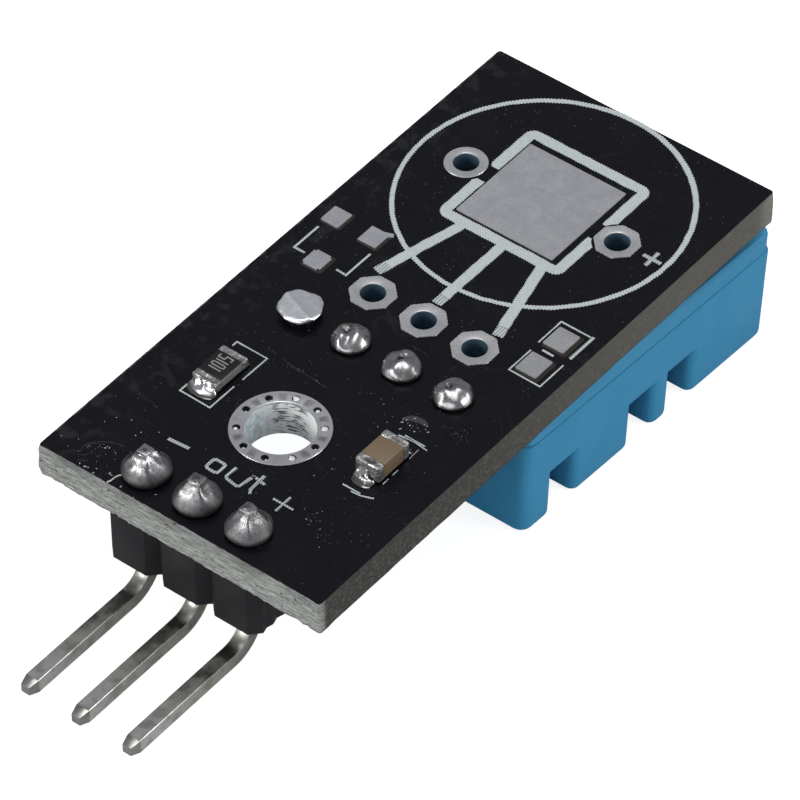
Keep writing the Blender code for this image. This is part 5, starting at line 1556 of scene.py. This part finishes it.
# %% [markdown]
# Flux that ran and dried leaves thin pale rims and a smear. Both are films a hundredth of a millimetre
# thick. One hair of solder lies at the near edge, where the iron was drawn away; it is painted plain
# white, as a painted glint.

# %% Dried rims of flux, a smear and a hair of solder
rims = strokes(
    (0.024, (-5.4, 0.66), (-5.51, 0.95), (-5.46, 1.18), (-5.26, 1.45), (-4.96, 1.69), (-4.6, 1.85),
     (-4.25, 1.93)),
    (0.02, (-5.44, 1.02), (-5.3, 1.3), (-5.08, 1.48), (-4.9, 1.53)),
    (0.03, (-5.02, 1.2), (-5.04, 1.44)), (0.022, (-4.5, 1.55), (-4.3, 1.42), (-4.2, 1.34)),
    (0.022, (-5.35, 0.5), (-5.15, 0.62), (-5.1, 0.8)), (0.026, (-5.2, 0.28), (-4.98, 0.36), (-4.9, 0.5)),
    (0.016, (-2.55, 9.38), (-1.8, 9.34), (-1.1, 9.25), (-0.15, 9.2)), (0.018, (-2.2, 9.3), (-1.5, 9.24)),
    (0.018, (1.03, 13.08), (1.63, 13.05), (2.01, 12.94)), (0.02, (-3.3, 9.5), (-2.9, 9.47)),
)
smear = [
    (3.2, 9.71), (3.39, 10.0), (3.61, 10.13), (3.98, 10.15), (4.3, 9.98),
    (4.21, 9.9), (3.93, 9.87), (3.63, 9.78), (3.37, 9.69),
]
flux_film = flat_solid([jagged(rim, 0.006) for rim in rims] + [jagged(smear, 0.03)], 0.004, 0.012)
piece(object_from(flux_film, "flux_film"), thin_flux)
hair = strokes((0.045, (-3.52, 0.02), (-3.46, 0.16), (-3.45, 0.38), (-3.4, 0.56), (-3.3, 0.7)))
piece(object_from(flat_solid(hair, 0.01, 0.05), "solder_hair"), painted_glint)
print("rims of flux:", len(rims))

# %% [markdown]
# The sensor case. Seen from its front it is a plate with rows of slots: some rows run out through the
# side walls and leave a row of teeth, which is what the photo shows from the side. That whole front part
# is one outline with holes, given a height and rounded edges. A plain block with the same
# walls closes it behind, the two are merged, and then a pocket and the notches for the pins are cut.

# %% Case sizes
CASE_WIDTH = 12.1
CASE_LENGTH = 16.4
CASE_FRONT = 5.53
SLOT_ROWS = [2.57 + 2.62 * k for k in range(5)]
OPEN_ROWS = (0, 2, 3)
SLOT_WIDTH = 1.42
NOTCH_CEILING = 3.15
NOTCH_DEPTH = 2.95
TOOTH_CORNER = 0.42
WALL = 1.2
MIDDLE_SLOT = ((-2.2, 2.2),)
SIDE_SLOTS = ((-4.6, -0.55), (0.55, 4.6))


def grille_outlines():
    """The front plate's outer edge, with a notch at each end of an open row, and its closed slots."""
    half = CASE_WIDTH / 2
    slot = SLOT_WIDTH / 2
    inner = half - NOTCH_DEPTH
    right = [(half, 0.0, 0.55)]
    for row in OPEN_ROWS:
        y = SLOT_ROWS[row]
        right += [(half, y - slot, TOOTH_CORNER), (inner, y - slot, 0.3)]
        right += [(inner, y + slot, 0.3), (half, y + slot, TOOTH_CORNER)]
    right.append((half, CASE_LENGTH, 0.55))
    left = [(-x, y, r) for x, y, r in reversed(right)]
    outlines = [rounded(right + left, 0.5, 6)]
    for row, y in enumerate(SLOT_ROWS):
        for low, high in MIDDLE_SLOT if row in OPEN_ROWS else SIDE_SLOTS:
            outlines.append(rounded(rectangle((low + high) / 2, y, high - low, SLOT_WIDTH), 0.35, 5)[::-1])
    return outlines


def drafted(bm):
    """Draws the walls in towards the front, as a moulding's draft does."""
    middle_y = CASE_LENGTH / 2
    for point in bm.verts:
        inward = -point.co.z * DRAFT
        point.co.x *= 1.0 - inward / (CASE_WIDTH / 2)
        point.co.y = middle_y + (point.co.y - middle_y) * (1.0 - inward / middle_y)
    return bm


def rounded_box(width, y_low, y_high, low, high, corner, edge=0.0):
    outline = rectangle(0.0, (y_low + y_high) / 2, width, y_high - y_low)
    return flat_solid([rounded(outline, corner, 6)], low, high, edge)

# %% Case
GRILLE_BACK = -2.5
FRONT_PLATE = 1.2
WELL_WALL = 1.7
PIN_GAP = 0.28
front = drafted(flat_solid(grille_outlines(), -CASE_FRONT, GRILLE_BACK, 0.3, 4))
cover = object_from(front, "case_cover")
CASE_OFFSET = 0.32
TRIM = 0.004
rear = rounded_box(CASE_WIDTH - 2 * TRIM, TRIM, CASE_LENGTH - TRIM, -NOTCH_CEILING, -CASE_RIM, 0.55, 0.09)
combined(cover, drafted(rear), "UNION")
pocket = rounded_box(CASE_WIDTH - 2 * WALL, WALL, CASE_LENGTH - WALL, -2.92, -CASE_RIM + 0.3, 0.3)
well_low = -CASE_FRONT + FRONT_PLATE
well = rounded_box(
    CASE_WIDTH - 2 * WELL_WALL, WELL_WALL, CASE_LENGTH - WELL_WALL, well_low, GRILLE_BACK, 0.3,
)
case_pins = [x - CASE_OFFSET for x in sensor_columns]
pin_gaps = together([
    box((x - PIN_GAP, -0.3, -1.29), (x + PIN_GAP, 1.4, -CASE_RIM + 0.3)) for x in case_pins
])
for cutter in (pocket, well, pin_gaps):
    combined(cover, cutter)
piece(cover, blue_cover, "sensor_cover", 30, CASE_PLACE)
print("case faces:", len(cover.data.polygons))

# %% [markdown]
# Inside the case the CAD nodes are enough: only slivers of them show through the slots. They still get
# their finishes, and so do the other CAD nodes that stay.

# %% Finishes for the CAD nodes that stay
COMB_PITCH = 0.36
kept = {
    "sensor_back_cover": blue_back, "inner_board": green_mask, "controller_chip": black_resin,
    "thermistor": black_glaze, "square_pad": tin_pad,
}
kept.update({"sensor_pin_%d" % k: pin_finish for k in range(1, 5)})
kept.update({"transistor_pad_%d" % k: tin_pad for k in range(1, 4)})
kept.update({"chip_pad_%d" % k: tin_small_pad for k in (1, 2)})

comb = Finish("humidity_comb", (0.42, 0.42, 0.4), 0.5, place=CASE_PLACE)
stripe = comb.math("FRACT", comb.math("DIVIDE", comb.xyz()[1], COMB_PITCH))
electrodes = comb.fade(comb.math("ABSOLUTE", comb.minus(stripe, 0.5)), 0.2, 0.24)
comb.tint(electrodes, (0.03, 0.03, 0.035), 0.9)
comb.tint(comb.patches(0.6, 0.4, 0.7), (0.3, 0.29, 0.27), 0.5)
comb.raise_by(electrodes, 0.01)
kept["humidity_element"] = comb.made()
for name, finish in kept.items():
    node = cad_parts[name]
    node.data.materials.clear()
    node.data.materials.append(finish)
print("CAD nodes that stay:", len(kept))

# %% [markdown]
# The studio. The photo has a white ground with no shadow to speak of, a board that stays black and
# solder with hard bright streaks. So the ground is a white sheet that glows a little, the sky behind the
# board is dim, because the board mirrors it, and soft boxes stand where the solder shows them.

# %% Floor
FLOOR_SIZE = 1.2
floor_mesh = bmesh.new()
bmesh.ops.create_grid(floor_mesh, x_segments=2, y_segments=2, size=FLOOR_SIZE)
bmesh.ops.translate(floor_mesh, verts=floor_mesh.verts, vec=(0.0, 0.0, -0.02 * MM))
floor = object_from(floor_mesh, "floor_sheet")
paper = Finish("pale_sheet", (0.5, 0.5, 0.5), 0.9, Emission_Color=(1.0, 1.0, 1.0, 1.0))
seen_directly = paper.tree.nodes.new("ShaderNodeLightPath").outputs["Is Camera Ray"]
paper.tree.links.new(paper.times(seen_directly, 0.85), paper.shader.inputs["Emission Strength"])
paper.raise_by(paper.patches(0.8, 0.3, 0.7), 0.002)
floor.data.materials.append(paper.made())
print("floor:", floor.name)

# %% [markdown]
# Four soft boxes light the module. One hangs overhead for the board's face, two strips give the solder its
# long highlights, and a wide low one fills the near end. The sky adds a dim, slightly blue light.

# %% Lights
middle = (cad_low + cad_high) / 2


def soft_box(name, azimuth, elevation, distance, width, height, power):
    """A soft box that looks at the object. Azimuth 0 is the header's side and 90 the capacitor's side."""
    lamp = bpy.data.lights.new(name, "AREA")
    lamp.shape = "RECTANGLE"
    lamp.size = width
    lamp.size_y = height
    lamp.energy = power
    holder = bpy.data.objects.new(name, lamp)
    bpy.context.scene.collection.objects.link(holder)
    a, e = radians(azimuth), radians(elevation)
    toward = Vector((sin(a) * cos(e), -cos(a) * cos(e), sin(e)))
    holder.location = middle + toward * distance
    holder.rotation_euler = (-toward).to_track_quat("-Z", "Y").to_euler()
    return holder


for values in (
    ("overhead", 20, 82, 0.5, 0.3, 0.3, 0.95), ("front_strip", -27, 18, 0.5, 0.1, 0.2, 0.95),
    ("front_fill", 3, 8, 0.5, 0.6, 0.28, 0.9), ("right_strip", 112, 22, 0.5, 0.14, 0.3, 0.95),
):
    soft_box(*values)
world = bpy.data.worlds.new("studio")
bpy.context.scene.world = world
world.use_nodes = True
background = world.node_tree.nodes["Background"]
background.inputs["Color"].default_value = (0.92, 0.94, 1.0, 1.0)
background.inputs["Strength"].default_value = 0.3
print("lamps:", len(bpy.data.lights))

# %% [markdown]
# The camera stands where the photographer stood. Its place comes from fitting the known sizes of the
# board to the photo: it looks at one spot on the board's face, from an azimuth and an elevation that are
# measured from the board, over a long lens, with a slight roll.

# %% Camera
LOOK_AT = (2.522, 10.424, 0.0)
VIEW_AZIMUTH = radians(39.02)
VIEW_ELEVATION = radians(44.67)
VIEW_DISTANCE = 246.6
VIEW_ROLL = radians(-0.794)
camera_data = bpy.data.cameras.new("camera")
camera_data.sensor_width = 36.0
camera_data.lens = 286.585
camera_data.clip_start = 0.01
camera = bpy.data.objects.new("camera", camera_data)
bpy.context.scene.collection.objects.link(camera)
toward_camera = Vector((
    sin(VIEW_AZIMUTH) * cos(VIEW_ELEVATION), -cos(VIEW_AZIMUTH) * cos(VIEW_ELEVATION), sin(VIEW_ELEVATION),
))
stand = Vector(LOOK_AT) + toward_camera * VIEW_DISTANCE
turn = (-toward_camera).to_track_quat("-Z", "Y").to_matrix().to_4x4() @ Matrix.Rotation(VIEW_ROLL, 4, "Z")
level = Matrix.Rotation(LEAN, 4, "X") @ turn
camera.matrix_world = Matrix.Translation(BOARD_PLACE @ stand) @ level
bpy.context.scene.camera = camera
bpy.context.scene.view_settings.view_transform = "Standard"
print("camera at, in mm:", [round(c / MM, 1) for c in camera.matrix_world.translation])
